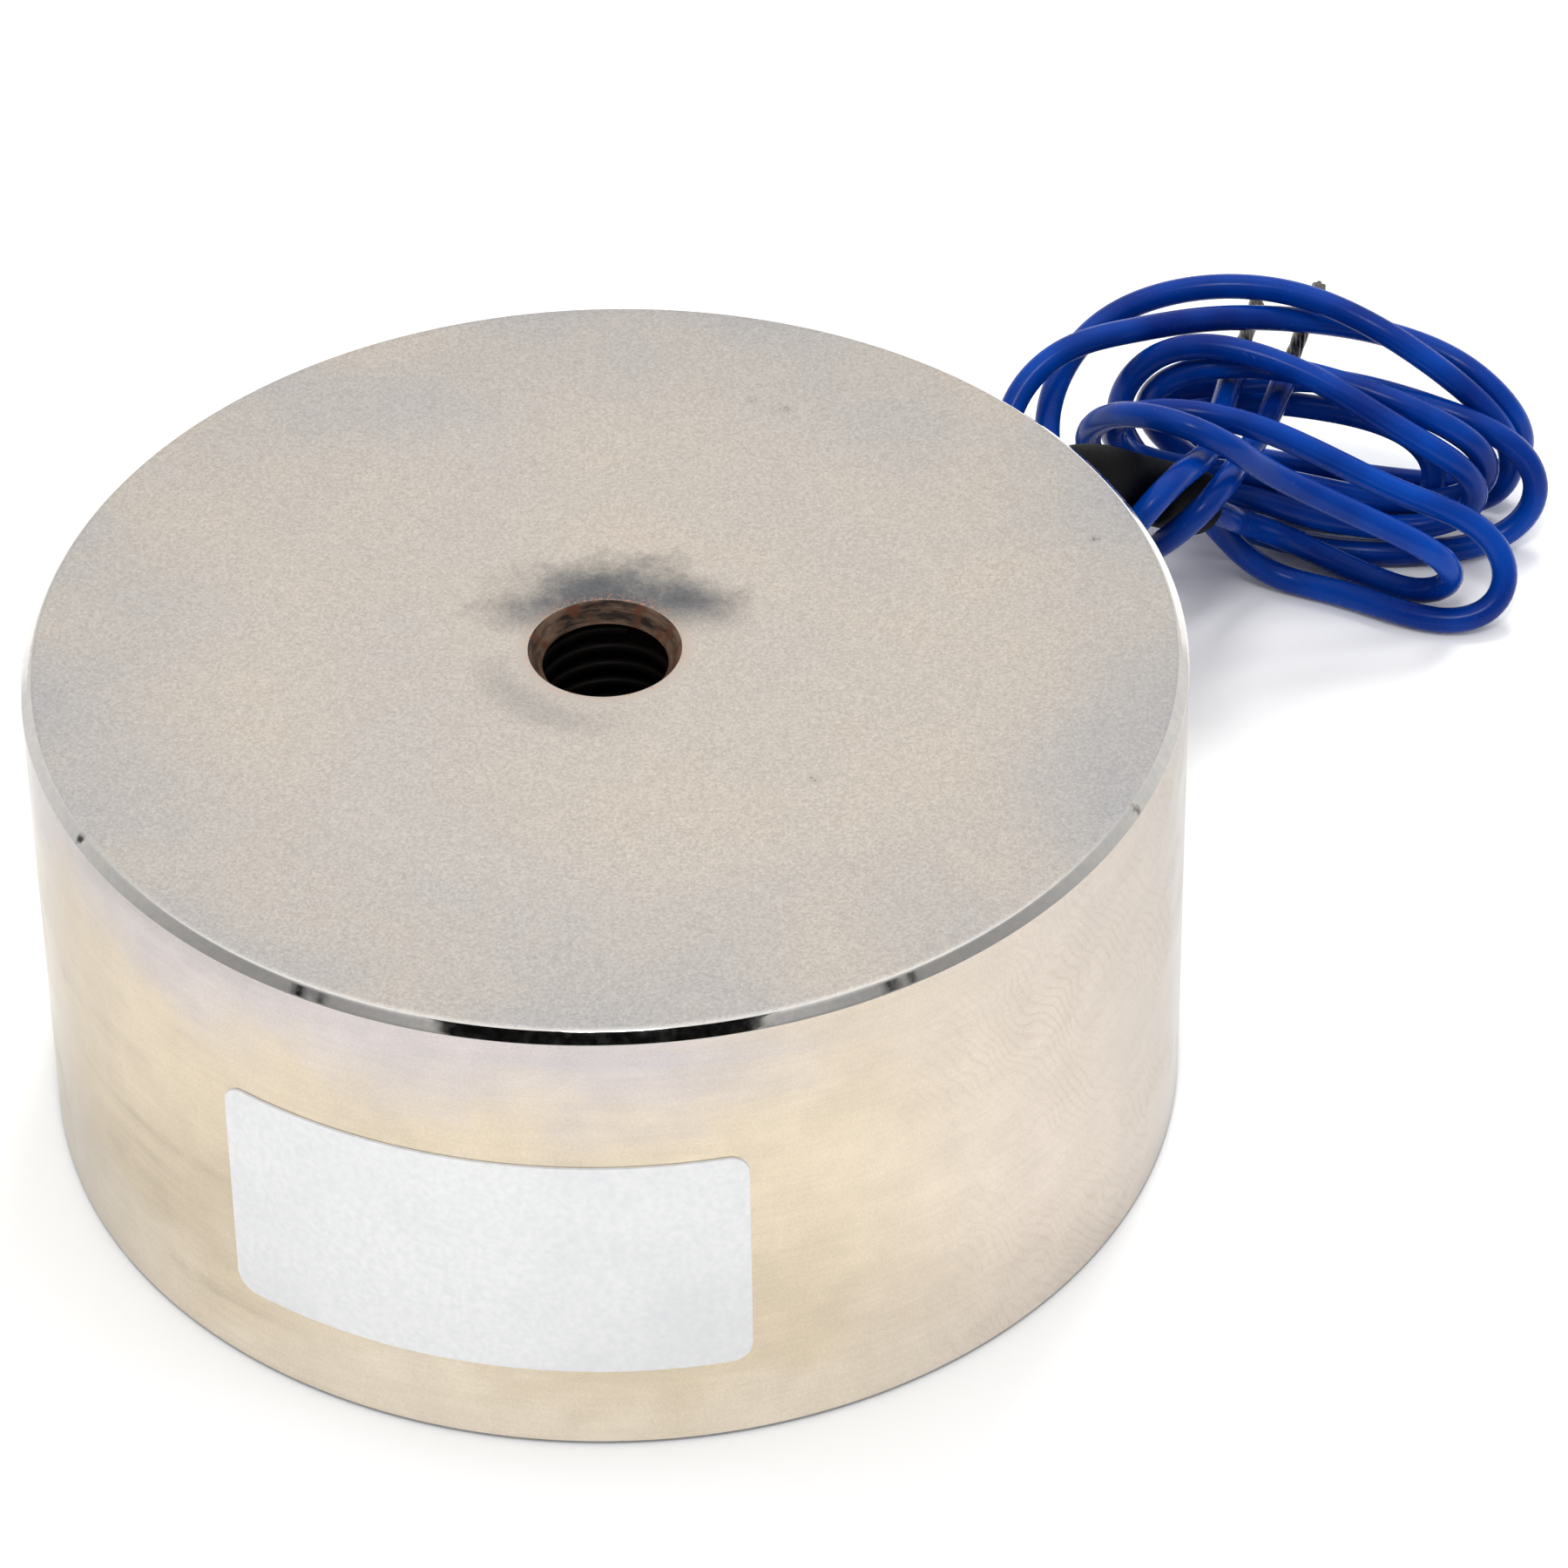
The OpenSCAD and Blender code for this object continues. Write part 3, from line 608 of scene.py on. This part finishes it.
section = rounded_section(SECTION)
print("section points", len(section))

# %% Spin the section
SPIN_STEPS = 360
SHARP_ANGLE = 25


def mesh_piece(name, points, faces, sharp_angle):
    mesh = bpy.data.meshes.new(name)
    mesh.from_pydata([Vector(p) * MM for p in points], [], faces)
    mesh.validate()
    mesh.shade_smooth()
    mesh.set_sharp_from_angle(angle=math.radians(sharp_angle))
    return put(name, mesh)


points = [(0, 0, section[0][0][1]), (0, 0, section[-1][0][1])]
faces = []
looks = []
rings = []
for (r, z), _ in section[1:-1]:
    ring = []
    for k in range(SPIN_STEPS):
        a = 2 * math.pi * k / SPIN_STEPS
        ring.append(len(points))
        points.append((r * math.cos(a), r * math.sin(a), z))
    rings.append(ring)
for k in range(SPIN_STEPS):
    n = (k + 1) % SPIN_STEPS
    faces.append((0, rings[0][n], rings[0][k]))
    looks.append(section[0][1])
    for low, high, (_, finish) in zip(rings, rings[1:], section[1:]):
        faces.append((low[k], low[n], high[n], high[k]))
        looks.append(finish)
    faces.append((1, rings[-1][k], rings[-1][n]))
    looks.append(section[-2][1])
pot_blank = mesh_piece("pot_blank", points, faces, SHARP_ANGLE)
for finish in (satin_nickel, turned_nickel, mirror_nickel, rusty_steel, oiled_steel_and_shade):
    pot_blank.data.materials.append(finish)
pot_blank.data.polygons.foreach_set("material_index", looks)
print("pot faces", len(faces))

# %% [markdown]
# ## Side hole
# The leads leave through a hole in the wall. It is drilled on the real pot, and here too: a round bar is
# cut from the spun blank with an exact boolean, because a hole through a curved wall has no simple outline.

# %% Drill the side hole for the sleeve
DRILL_R = 2.16
DRILL_LENGTH = 8.0
DRILL_MIDDLE = 30.5


def evaluated_mesh(thing, name):
    mesh = bpy.data.meshes.new_from_object(thing.evaluated_get(bpy.context.evaluated_depsgraph_get()))
    mesh.name = name
    return mesh


drill_turn = Matrix.Rotation(EXIT_BEARING, 4, "Z")
drill_turn = drill_turn @ Matrix.Translation((DRILL_MIDDLE * MM, 0, EXIT_Z * MM))
drill_turn = drill_turn @ Matrix.Rotation(math.pi / 2, 4, "Y")
drill_mesh = bpy.data.meshes.new("drill")
drill_shape = bmesh.new()
bmesh.ops.create_cone(
    drill_shape, cap_ends=True, segments=64, radius1=DRILL_R * MM, radius2=DRILL_R * MM,
    depth=DRILL_LENGTH * MM, matrix=drill_turn,
)
drill_shape.to_mesh(drill_mesh)
drill_shape.free()
drill = put("drill", drill_mesh)
cut = pot_blank.modifiers.new("side_hole", "BOOLEAN")
cut.operation = "DIFFERENCE"
cut.solver = "EXACT"
cut.object = drill
pot_mesh = evaluated_mesh(pot_blank, "plated_pot")
pot_mesh.shade_smooth()
pot_mesh.set_sharp_from_angle(angle=math.radians(SHARP_ANGLE))
plated_pot = put("plated_pot", pot_mesh)
for spent in (pot_blank, drill):
    bpy.data.objects.remove(spent, do_unlink=True)
print("plated pot faces", len(pot_mesh.polygons))

# %% [markdown]
# ## Thread
# A thread is a ridge that follows a spiral. A screw modifier could turn a profile, but a path and a section
# in Geometry Nodes have named sizes that can be changed later. The ridge stands on the wall of the bore,
# and its crest comes in to the tapping diameter.

# %% Build a tree with named inputs
def new_tree(name, sizes):
    tree = bpy.data.node_groups.new(name, "GeometryNodeTree")
    tree.interface.new_socket("Geometry", in_out="INPUT", socket_type="NodeSocketGeometry")
    tree.interface.new_socket("Geometry", in_out="OUTPUT", socket_type="NodeSocketGeometry")
    for label, value in sizes.items():
        socket = tree.interface.new_socket(label, in_out="INPUT", socket_type="NodeSocketFloat")
        socket.default_value = value
    return tree, add(tree, "NodeGroupInput").outputs, add(tree, "NodeGroupOutput")


def close_tree(tree, geometry, finish, result):
    plain = add(tree, "GeometryNodeRealizeInstances", {0: geometry})
    dressed = add(tree, "GeometryNodeSetMaterial", {"Geometry": plain, "Material": finish})
    tree.links.new(dressed.outputs[0], result.inputs[0])


def grown_piece(name, tree, values):
    maker = put(name + "_maker", bpy.data.meshes.new(name + "_maker"))
    grow = maker.modifiers.new("grow", "NODES")
    grow.node_group = tree
    for item in tree.interface.items_tree:
        if item.item_type == "SOCKET" and item.in_out == "INPUT" and item.name in values:
            grow[item.identifier] = values[item.name]
    mesh = evaluated_mesh(maker, name)
    bpy.data.objects.remove(maker, do_unlink=True)
    return put(name, mesh)


print("trees so far", len(bpy.data.node_groups))

# %% Grow the thread ridge
THREAD_LENGTH = 11.0
THREAD_LOW = 17.2

tree, given, result = new_tree("thread_ridge", {
    "Pitch": 1.25 * MM, "Length": THREAD_LENGTH * MM, "Root": 4.02 * MM, "Size": 0.42 * MM})
turns = add(tree, MATH, {0: given["Length"], 1: given["Pitch"]}, operation="DIVIDE")
path = add(tree, "GeometryNodeCurveSpiral", {
    "Resolution": 56, "Rotations": turns, "Start Radius": given["Root"], "End Radius": given["Root"],
    "Height": given["Length"],
})
ridge = add(tree, "GeometryNodeCurvePrimitiveCircle", {"Resolution": 4, "Radius": given["Size"]})
upright = add(tree, "GeometryNodeSetCurveNormal", {"Curve": path}, mode="Z_UP")
swept = add(tree, "GeometryNodeCurveToMesh", {"Curve": upright, "Profile Curve": ridge, "Fill Caps": True})
close_tree(tree, swept, oiled_steel_and_shade, result)
thread_ridge = grown_piece("thread_ridge", tree, {})
thread_ridge.data.transform(Matrix.Translation((0, 0, THREAD_LOW * MM)))
co = np.array([v.co for v in thread_ridge.data.vertices]) / MM
print("thread crest mm", round(float(np.hypot(co[:, 0], co[:, 1]).min()), 3))

# %% [markdown]
# ## Tinned ends
# The stripped end of each lead is a bundle of copper strands, twisted and dipped in tin. Each strand could
# be drawn by itself, but they are all alike, so one thin rod along a spiral is copied round the axis, with
# a straight one in the middle.

# %% Tinned copper
# Tin on fine wire is a dull silver that handling has left dark in the hollows.
tinned_copper, tree, where = new_finish("tinned_copper_strand", Metallic=1.0)
dirt = add(tree, NOISE, {"Vector": where, "Scale": per_mm(0.7), "Detail": 3.0})
tone = add(tree, RANGE, {0: dirt, 1: 0.3, 2: 0.7})
gloss = add(tree, RANGE, {0: dirt, 3: 0.28, 4: 0.5})
dress(tree, paint(tree, "#33312e", [("#86837e", tone)]), gloss, dirt, 0.4, 0.05)
print("finish", tinned_copper.name)

# %% Grow the twisted strands
BARE_A = 6.9
BARE_B = 9.5
TUCKED_IN = 0.3
STRAND_SHARP = 40

strands, given, result = new_tree("twisted_strands", {
    "Length": 7 * MM, "Lay": 9 * MM, "Lay Radius": 0.31 * MM, "Strand": 0.19 * MM, "Count": 6})
turns = add(strands, MATH, {0: given["Length"], 1: given["Lay"]}, operation="DIVIDE")
path = add(strands, "GeometryNodeCurveSpiral", {
    "Resolution": 40, "Rotations": turns, "Start Radius": given["Lay Radius"],
    "End Radius": given["Lay Radius"], "Height": given["Length"],
})
wire = add(strands, "GeometryNodeCurvePrimitiveCircle", {"Resolution": 10, "Radius": given["Strand"]})
strand = add(strands, "GeometryNodeCurveToMesh", {"Curve": path, "Profile Curve": wire, "Fill Caps": True})
spots = add(strands, "GeometryNodePoints", {"Count": given["Count"]})
order = add(strands, "GeometryNodeInputIndex")
share = add(strands, MATH, {0: order, 1: given["Count"]}, operation="DIVIDE")
angle = add(strands, MATH, {0: share, 1: 2 * math.pi}, operation="MULTIPLY")
facing = add(strands, "ShaderNodeCombineXYZ", {2: angle})
copies = add(strands, "GeometryNodeInstanceOnPoints", {
    "Points": spots, "Instance": strand, "Rotation": facing,
})
top = add(strands, "ShaderNodeCombineXYZ", {2: given["Length"]})
core_path = add(strands, "GeometryNodeCurvePrimitiveLine", {"End": top})
core = add(strands, "GeometryNodeCurveToMesh", {"Curve": core_path, "Profile Curve": wire, "Fill Caps": True})
both = add(strands, "GeometryNodeJoinGeometry")
for part in (core, copies):
    strands.links.new(part.outputs[0], both.inputs[0])
close_tree(strands, both, tinned_copper, result)


def tinned_end(name, line, bare):
    heading = Vector(line[-1] - line[-4]).normalized()
    piece = grown_piece(name, strands, {"Length": (bare + TUCKED_IN) * MM})
    foot = Vector(line[-1]) - TUCKED_IN * heading
    turn = heading.to_track_quat("Z", "Y").to_matrix().to_4x4()
    piece.data.transform(Matrix.Translation(foot * MM) @ turn)
    piece.data.shade_smooth()
    piece.data.set_sharp_from_angle(angle=math.radians(STRAND_SHARP))
    return piece


tinned_end_a = tinned_end("tinned_end_a", centre_a, BARE_A)
tinned_end_b = tinned_end("tinned_end_b", centre_b, BARE_B)
print("strand faces", len(tinned_end_a.data.polygons), len(tinned_end_b.data.polygons))

# %% [markdown]
# ## Sleeve
# Black shrink tubing covers both leads where they leave the pot. A bevelled curve has no bore and no lip,
# so rings are swept along the sleeve's line, up the outside, over a soft lip at the mouth, and back through
# the bore. Shrinking leaves slight lumps on the length that is outside the pot.

# %% Sweep the sleeve
SLEEVE_R = 2.1
SLEEVE_BORE = 1.7
SLEEVE_START = 27.5
SLEEVE_STEP = 0.35
SLEEVE_SIDES = 40
SLEEVE_SHARP = 50
SLEEVE_SKIN = SLEEVE_R - 0.03
SLEEVE_LIP = (SLEEVE_R - 0.06, SLEEVE_R - 0.16, SLEEVE_BORE + 0.06)
BORE_SKIP = 4
WALL_RINGS = 16
LUMP = 0.02
SLOW_LUMPS = 9.0
QUICK_LUMPS = 23.0
LUMP_SHIFT = 1.3

axis_line = smooth_line(sleeve_line(0, SLEEVE_START, 10), SLEEVE_STEP)
heads = np.gradient(axis_line, axis=0)
heads /= np.linalg.norm(heads, axis=1)[:, None]
level = np.array([-math.sin(EXIT_BEARING), math.cos(EXIT_BEARING), 0])
last = len(axis_line) - 1
skin = []
for i in range(last):
    reach = i / last
    lump = LUMP * math.sin(SLOW_LUMPS * reach + LUMP_SHIFT) * math.sin(QUICK_LUMPS * reach)
    skin.append((i, SLEEVE_SKIN + (lump if i > WALL_RINGS else 0.0)))
skin += [(last, r) for r in SLEEVE_LIP]
skin += [(i, SLEEVE_BORE) for i in range(last - 1, -1, -BORE_SKIP)]
skin.append((0, SLEEVE_BORE))

points = []
faces = []
for i, r in skin:
    lift = np.cross(heads[i], level)
    for k in range(SLEEVE_SIDES):
        a = 2 * math.pi * k / SLEEVE_SIDES
        points.append(tuple(axis_line[i] + r * (math.cos(a) * level + math.sin(a) * lift)))
for i in range(len(skin)):
    low = i * SLEEVE_SIDES
    high = (i + 1) % len(skin) * SLEEVE_SIDES
    for k in range(SLEEVE_SIDES):
        n = (k + 1) % SLEEVE_SIDES
        faces.append((low + k, low + n, high + n, high + k))


def turn_faces_out(piece):
    shape = bmesh.new()
    shape.from_mesh(piece.data)
    bmesh.ops.remove_doubles(shape, verts=shape.verts, dist=1e-7)
    bmesh.ops.recalc_face_normals(shape, faces=shape.faces)
    shape.to_mesh(piece.data)
    shape.free()


shrink_sleeve = mesh_piece("shrink_sleeve", points, faces, SLEEVE_SHARP)
turn_faces_out(shrink_sleeve)
print("sleeve faces", len(shrink_sleeve.data.polygons))

# %% [markdown]
# ## Label
# The label is a white film, die cut with round corners and stuck round the side. A flat sheet with a bend
# modifier would come close, but columns of points that are placed on the pot's radius lie on it exactly.
# The top layer is a little smaller, so the cut edge slopes. The label stays bare.

# %% Bend the label round the side
LABEL_W = 30.0
LABEL_H = 15.0
LABEL_T = 0.12
LABEL_R = 1.2
LABEL_SLOPE = 0.03
LABEL_Z = 13.2
LABEL_BEARING = math.radians(257.3)
LABEL_ROWS = 10
LABEL_COLUMNS = 61
LABEL_SHARP = 30

corner = [LABEL_W / 2 - LABEL_R + LABEL_R * math.sin(math.radians(a)) for a in range(0, 91, 10)]
straight = list(np.linspace(-corner[0], corner[0], LABEL_COLUMNS))
columns = sorted({round(x, 6) for x in corner + [-c for c in corner] + straight})
points = []
faces = []
for layer, trim in ((POT_R, 0.0), (POT_R + LABEL_T, LABEL_SLOPE)):
    for x in columns:
        over = max(0.0, abs(x) - (LABEL_W / 2 - LABEL_R))
        half = LABEL_H / 2 - LABEL_R + math.sqrt(max(0.0, LABEL_R ** 2 - over ** 2)) - trim
        a = LABEL_BEARING + x * (1 - 2 * trim / LABEL_W) / POT_R
        for j in range(LABEL_ROWS + 1):
            z = LABEL_Z - half + 2 * half * j / LABEL_ROWS
            points.append((layer * math.cos(a), layer * math.sin(a), z))
n = LABEL_ROWS + 1
top = len(points) // 2
for i in range(len(columns) - 1):
    for j in range(LABEL_ROWS):
        q = (i * n + j, (i + 1) * n + j, (i + 1) * n + j + 1, i * n + j + 1)
        faces.append(tuple(v + top for v in q))
        faces.append(tuple(reversed(q)))
    for j in (0, LABEL_ROWS):
        faces.append((i * n + j, (i + 1) * n + j, (i + 1) * n + j + top, i * n + j + top))
for i in (0, len(columns) - 1):
    for j in range(LABEL_ROWS):
        faces.append((i * n + j, i * n + j + 1, i * n + j + 1 + top, i * n + j + top))
film_label = mesh_piece("film_label", points, faces, LABEL_SHARP)
turn_faces_out(film_label)
print("label faces", len(film_label.data.polygons))

# %% [markdown]
# ## Finishes of the leads, sleeve and label
# The lead's cover is extruded vinyl, the sleeve is shrunk polyolefin and the label is a coated film. A flat
# colour would make each look like a toy, so each has a slow change of tone, a fine grain and an uneven gloss.

# %% Blue vinyl
# Extruded vinyl is a deep royal blue with a soft gloss, paler where it was scuffed.
blue_vinyl, tree, where = new_finish("blue_vinyl_cover", IOR=1.5, Specular_IOR_Level=0.14)
tint = add(tree, NOISE, {"Vector": where, "Scale": per_mm(6), "Detail": 2.0})
scuff = add(tree, NOISE, {"Vector": where, "Scale": per_mm(0.5), "Detail": 4.0, "Roughness": 0.75})
tone = add(tree, RANGE, {0: tint, 1: 0.3, 2: 0.7})
mark = add(tree, RANGE, {0: scuff, 1: 0.68, 2: 0.80, 4: 0.35})
gloss = add(tree, RANGE, {0: scuff, 1: 0.25, 2: 0.75, 3: 0.2, 4: 0.3})
base = paint(tree, "#00216c", [("#003e9c", tone), ("#6c90d8", mark)])
dress(tree, base, gloss, tint, 0.06, 0.03)
print("finish", blue_vinyl.name)

# %% Black sleeve and white film
# Shrunk polyolefin is a matt black skin that shows almost no highlight. Its grain is drawn at 0.3 mm, which
# is coarser than it is, so that it shows.
black_sleeve, tree, where = new_finish("black_shrink_tubing", IOR=1.5, Specular_IOR_Level=0.08)
skin_grain = add(tree, NOISE, {"Vector": where, "Scale": per_mm(0.3), "Detail": 3.0})
gloss = add(tree, RANGE, {0: skin_grain, 3: 0.5, 4: 0.72})
dress(tree, paint(tree, "#010101", [("#040404", skin_grain)]), gloss, skin_grain, 0.25, 0.04)

# Coated film is a cool white with a faint fibre, greyed a little where it was rubbed. The fibre is drawn at
# 0.4 mm, coarser than it is, so that it shows.
white_film, tree, where = new_finish("white_label_film", IOR=1.5)
fibre = add(tree, NOISE, {"Vector": where, "Scale": per_mm(0.4), "Detail": 3.0})
wear = add(tree, NOISE, {"Vector": where, "Scale": per_mm(9), "Detail": 2.0})
tone = add(tree, RANGE, {0: fibre, 1: 0.3, 2: 0.7})
grey = add(tree, RANGE, {0: wear, 1: 0.45, 2: 0.7, 4: 0.4})
gloss = add(tree, RANGE, {0: wear, 3: 0.42, 4: 0.58})
dress(tree, paint(tree, "#c6c7c8", [("#d1d1d1", tone), ("#bcbdbf", grey)]), gloss)
print("finishes", black_sleeve.name, white_film.name)

# %% [markdown]
# ## Hidden pieces
# The coil, its bobbin, tape and resin, and the soldered joints are right as the solids give them, so only
# their finish changes. All are plain: two tones, a grain and a gloss, made by one function. The winding's
# grain is squeezed until it runs round the pot, as the layers of wire do.

# %% Finish the pieces inside the pot
def plain_finish(name, low, high, size, rough, squeeze=1.0, **values):
    material, tree, where = new_finish(name, **values)
    spread = add(tree, VECTOR, {0: where, 1: (squeeze, squeeze, 1.0)}, operation="MULTIPLY")
    noise = add(tree, NOISE, {"Vector": spread, "Scale": per_mm(size), "Detail": 3.0})
    tone = add(tree, RANGE, {0: noise, 1: 0.3, 2: 0.7})
    gloss = add(tree, RANGE, {0: noise, 3: rough[0], 4: rough[1]})
    dress(tree, paint(tree, low, [(high, tone)]), gloss, noise, 0.2, 0.05)
    return material


# Nylon is a milky cream with a soft gloss.
moulded_nylon = plain_finish("moulded_nylon", "#d9d3c4", "#e8e2d4", 2.0, (0.45, 0.6))
# Enamelled wire is a dark, glossy copper in fine lines.
enamelled_wire = plain_finish(
    "enamelled_copper_wire", "#7a3716", "#b5662f", 0.5, (0.22, 0.4), 0.02, Metallic=1.0)
# Polyester tape is a glossy amber.
amber_tape = plain_finish("amber_polyester_tape", "#a87f1f", "#c99b33", 3.0, (0.18, 0.32))
# Cast resin is a black that is glossy where it set against nothing.
cast_resin = plain_finish("cast_black_resin", "#0c0c0d", "#1c1b1a", 1.2, (0.25, 0.45))
# Solder is a frosty grey metal.
dull_solder = plain_finish("dull_solder", "#8b8c8e", "#b4b5b6", 0.6, (0.35, 0.55), Metallic=1.0)
# The tubing over the joints is a matt dark grey.
splice_tubing = plain_finish("splice_tubing", "#1b1b1c", "#29292b", 0.8, (0.5, 0.65))
inside = {
    "bobbin": moulded_nylon,
    "coil_winding": enamelled_wire,
    "coil_wrap": amber_tape,
    "potting_ring": cast_resin,
}
for end in ("start", "finish"):
    inside[end + "_tail"] = enamelled_wire
    inside[end + "_splice"] = dull_solder
    inside[end + "_splice_tube"] = splice_tubing


def wear_finish(piece, finish):
    piece.data.materials.clear()
    piece.data.materials.append(finish)


for node, finish in inside.items():
    wear_finish(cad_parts[node], finish)
print("finished inside", sorted(inside))

# %% [markdown]
# ## Table
# The part stands on a white table that fills the view. A curved backdrop would hide a horizon, but the
# camera looks down and sees none, so one wide sheet is enough.

# %% Lay the table
TABLE_HALF = 2.0
SQUARE = [(-1, -1), (1, -1), (1, 1), (-1, 1)]

table_mesh = bpy.data.meshes.new("table")
table_mesh.from_pydata([(TABLE_HALF * i, TABLE_HALF * j, 0) for i, j in SQUARE], [], [(0, 1, 2, 3)])
# A matt white board gives soft contact shadows and no image.
white_table = new_finish(
    "white_table", Base_Color=hex_colour("#f8f8f8"), Roughness=0.9, Specular_IOR_Level=0.1)[0]
table_mesh.materials.append(white_table)
table = put("table", table_mesh)
print("table", [round(v, 2) for v in table.dimensions])

# %% [markdown]
# ## Light
# The light is that of a white tent. Wide lamps fill from behind, from both sides and from the front, and
# stay out of the reflections, so that no disc shows in the metal. One small lamp above the camera's side
# may show, as a spark on the leads. The room itself is brighter behind and overhead, which gives the back
# face its tone and the rim its white line. A picture of a studio could light it too, but needs a file.

# %% Light the room
ORIGIN = (0, 0, 0)
# Each lamp has a name, a place, a point to aim at, a size in metres and a power in watts.
FILLS = [
    ("back_lamp", (0.10, 0.34, 0.55), (0.02, 0.02, 0), 0.2, 1.6),
    ("left_lamp", (-0.55, -0.35, 0.45), ORIGIN, 0.5, 0.5),
    ("right_lamp", (0.55, -0.35, 0.45), ORIGIN, 0.5, 0.5),
    ("front_lamp", (-0.2, -0.7, 0.25), ORIGIN, 0.4, 2.2),
]


def soft_lamp(name, place, aim, size, power):
    data = bpy.data.lights.new(name, "AREA")
    data.shape = "DISK"
    data.size = size
    data.energy = power
    lamp = put(name, data)
    lamp.location = place
    lamp.rotation_mode = "QUATERNION"
    lamp.rotation_quaternion = (Vector(aim) - Vector(place)).to_track_quat("-Z", "Y")
    return lamp


for fill in FILLS:
    soft_lamp(*fill).visible_glossy = False
soft_lamp("top_lamp", (0, -0.3, 0.63), ORIGIN, 0.12, 1.0)

world = bpy.data.worlds.new("studio")
bpy.context.scene.world = world
world.use_nodes = True
sky = world.node_tree
toward = add(sky, "ShaderNodeTexCoord").outputs["Generated"]
split = add(sky, "ShaderNodeSeparateXYZ", {0: toward})
back = add(sky, RANGE, {0: split.outputs[1], 1: -0.3, 2: 0.7, 3: 0.38, 4: 0.88}, **SMOOTH)
above = add(sky, RANGE, {0: split.outputs[2], 1: 0.62, 2: 0.92, 4: 0.7}, **SMOOTH)
room = add(sky, MATH, {0: back, 1: above}, operation="ADD")
sky.links.new(room.outputs[0], sky.nodes["Background"].inputs["Strength"])
sky.nodes["Background"].inputs["Color"].default_value = hex_colour("#ffffff")
bpy.context.scene.view_settings.view_transform = "Standard"

# %% [markdown]
# ## Dark card and lamp frames
# A mirror needs something dark to show. A dark card above the camera gives the black patch at the front of
# the rim, and narrow bars, as on the frames of two lamps, give the short flecks beside it. Painting them on
# the rim would be wrong from any other side, so they are real panels, which only reflections see. The place
# of a bar follows from where it shows: a ray from the camera is reflected at that bearing of the chamfer.

# %% Hang the dark panels
CARD_PLACE = Vector((-0.012, -0.30, 0.39))
CARD_HALF_WIDTH = 0.195
CARD_HALF_HEIGHT = 0.09
CARD_TILT = Matrix.Rotation(math.radians(-50), 3, "X")
FRAME_DISTANCE = 0.5
FRAME_HALF_HEIGHT = 0.03
# Each bar has a bearing on the rim, in degrees, and half of its width in metres.
FRAME_BARS = [(-119.6, 0.0092), (-117.2, 0.005), (-61.5, 0.0092), (-59.3, 0.005)]

# Black cloth gives no light back.
dark_cloth = new_finish(
    "dark_cloth", Base_Color=hex_colour("#050505"), Roughness=1.0, Specular_IOR_Level=0.0)[0]


def dark_panel(name, middle, across, tall):
    mesh = bpy.data.meshes.new(name)
    mesh.from_pydata([middle + i * across + j * tall for i, j in SQUARE], [], [(0, 1, 2, 3)])
    mesh.materials.append(dark_cloth)
    panel = put(name, mesh)
    panel.visible_camera = False
    panel.visible_diffuse = False
    panel.visible_shadow = False


def seen_in_rim(bearing):
    spot, outwards = rim_point(bearing)
    ray = (spot - camera.matrix_world.translation).normalized()
    return spot, ray.reflect((outwards + Vector((0, 0, 1))).normalized())


card_across = Vector((CARD_HALF_WIDTH, 0, 0))
dark_panel("dark_card", CARD_PLACE, card_across, CARD_TILT @ Vector((0, 0, CARD_HALF_HEIGHT)))
for number, (bearing, half_width) in enumerate(FRAME_BARS):
    spot, way = seen_in_rim(bearing)
    across = (seen_in_rim(bearing + 1)[1] - way).normalized()
    tall = across.cross(way) * FRAME_HALF_HEIGHT
    dark_panel(f"lamp_frame_{number}", spot + FRAME_DISTANCE * way, across * half_width, tall)
print("dark panels", 1 + len(FRAME_BARS))

# %% [markdown]
# ## Joining the pieces to the part
# Every piece made here rides on the part's one body and takes the place of the solid that it dresses. The
# thread's ridge dresses no solid of its own, so it only rides.

# %% Give the pieces their finishes and places
wear_finish(blue_lead_a, blue_vinyl)
wear_finish(blue_lead_b, blue_vinyl)
wear_finish(shrink_sleeve, black_sleeve)
wear_finish(film_label, white_film)
dressed_nodes = [
    (plated_pot, "pot_body", "nickel_plated_steel"),
    (shrink_sleeve, "exit_sleeve", "black_sleeve"),
    (blue_lead_a, "lead_a", "blue_insulation"),
    (blue_lead_b, "lead_b", "blue_insulation"),
    (tinned_end_a, "lead_a_tip", "tinned_copper"),
    (tinned_end_b, "lead_b_tip", "tinned_copper"),
    (film_label, "label", "label_film"),
]
for piece, node, slot in dressed_nodes:
    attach(piece, "root")
    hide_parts(node)
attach(thread_ridge, "root")
print("pieces", [piece.name for piece, _, _ in dressed_nodes] + [thread_ridge.name])
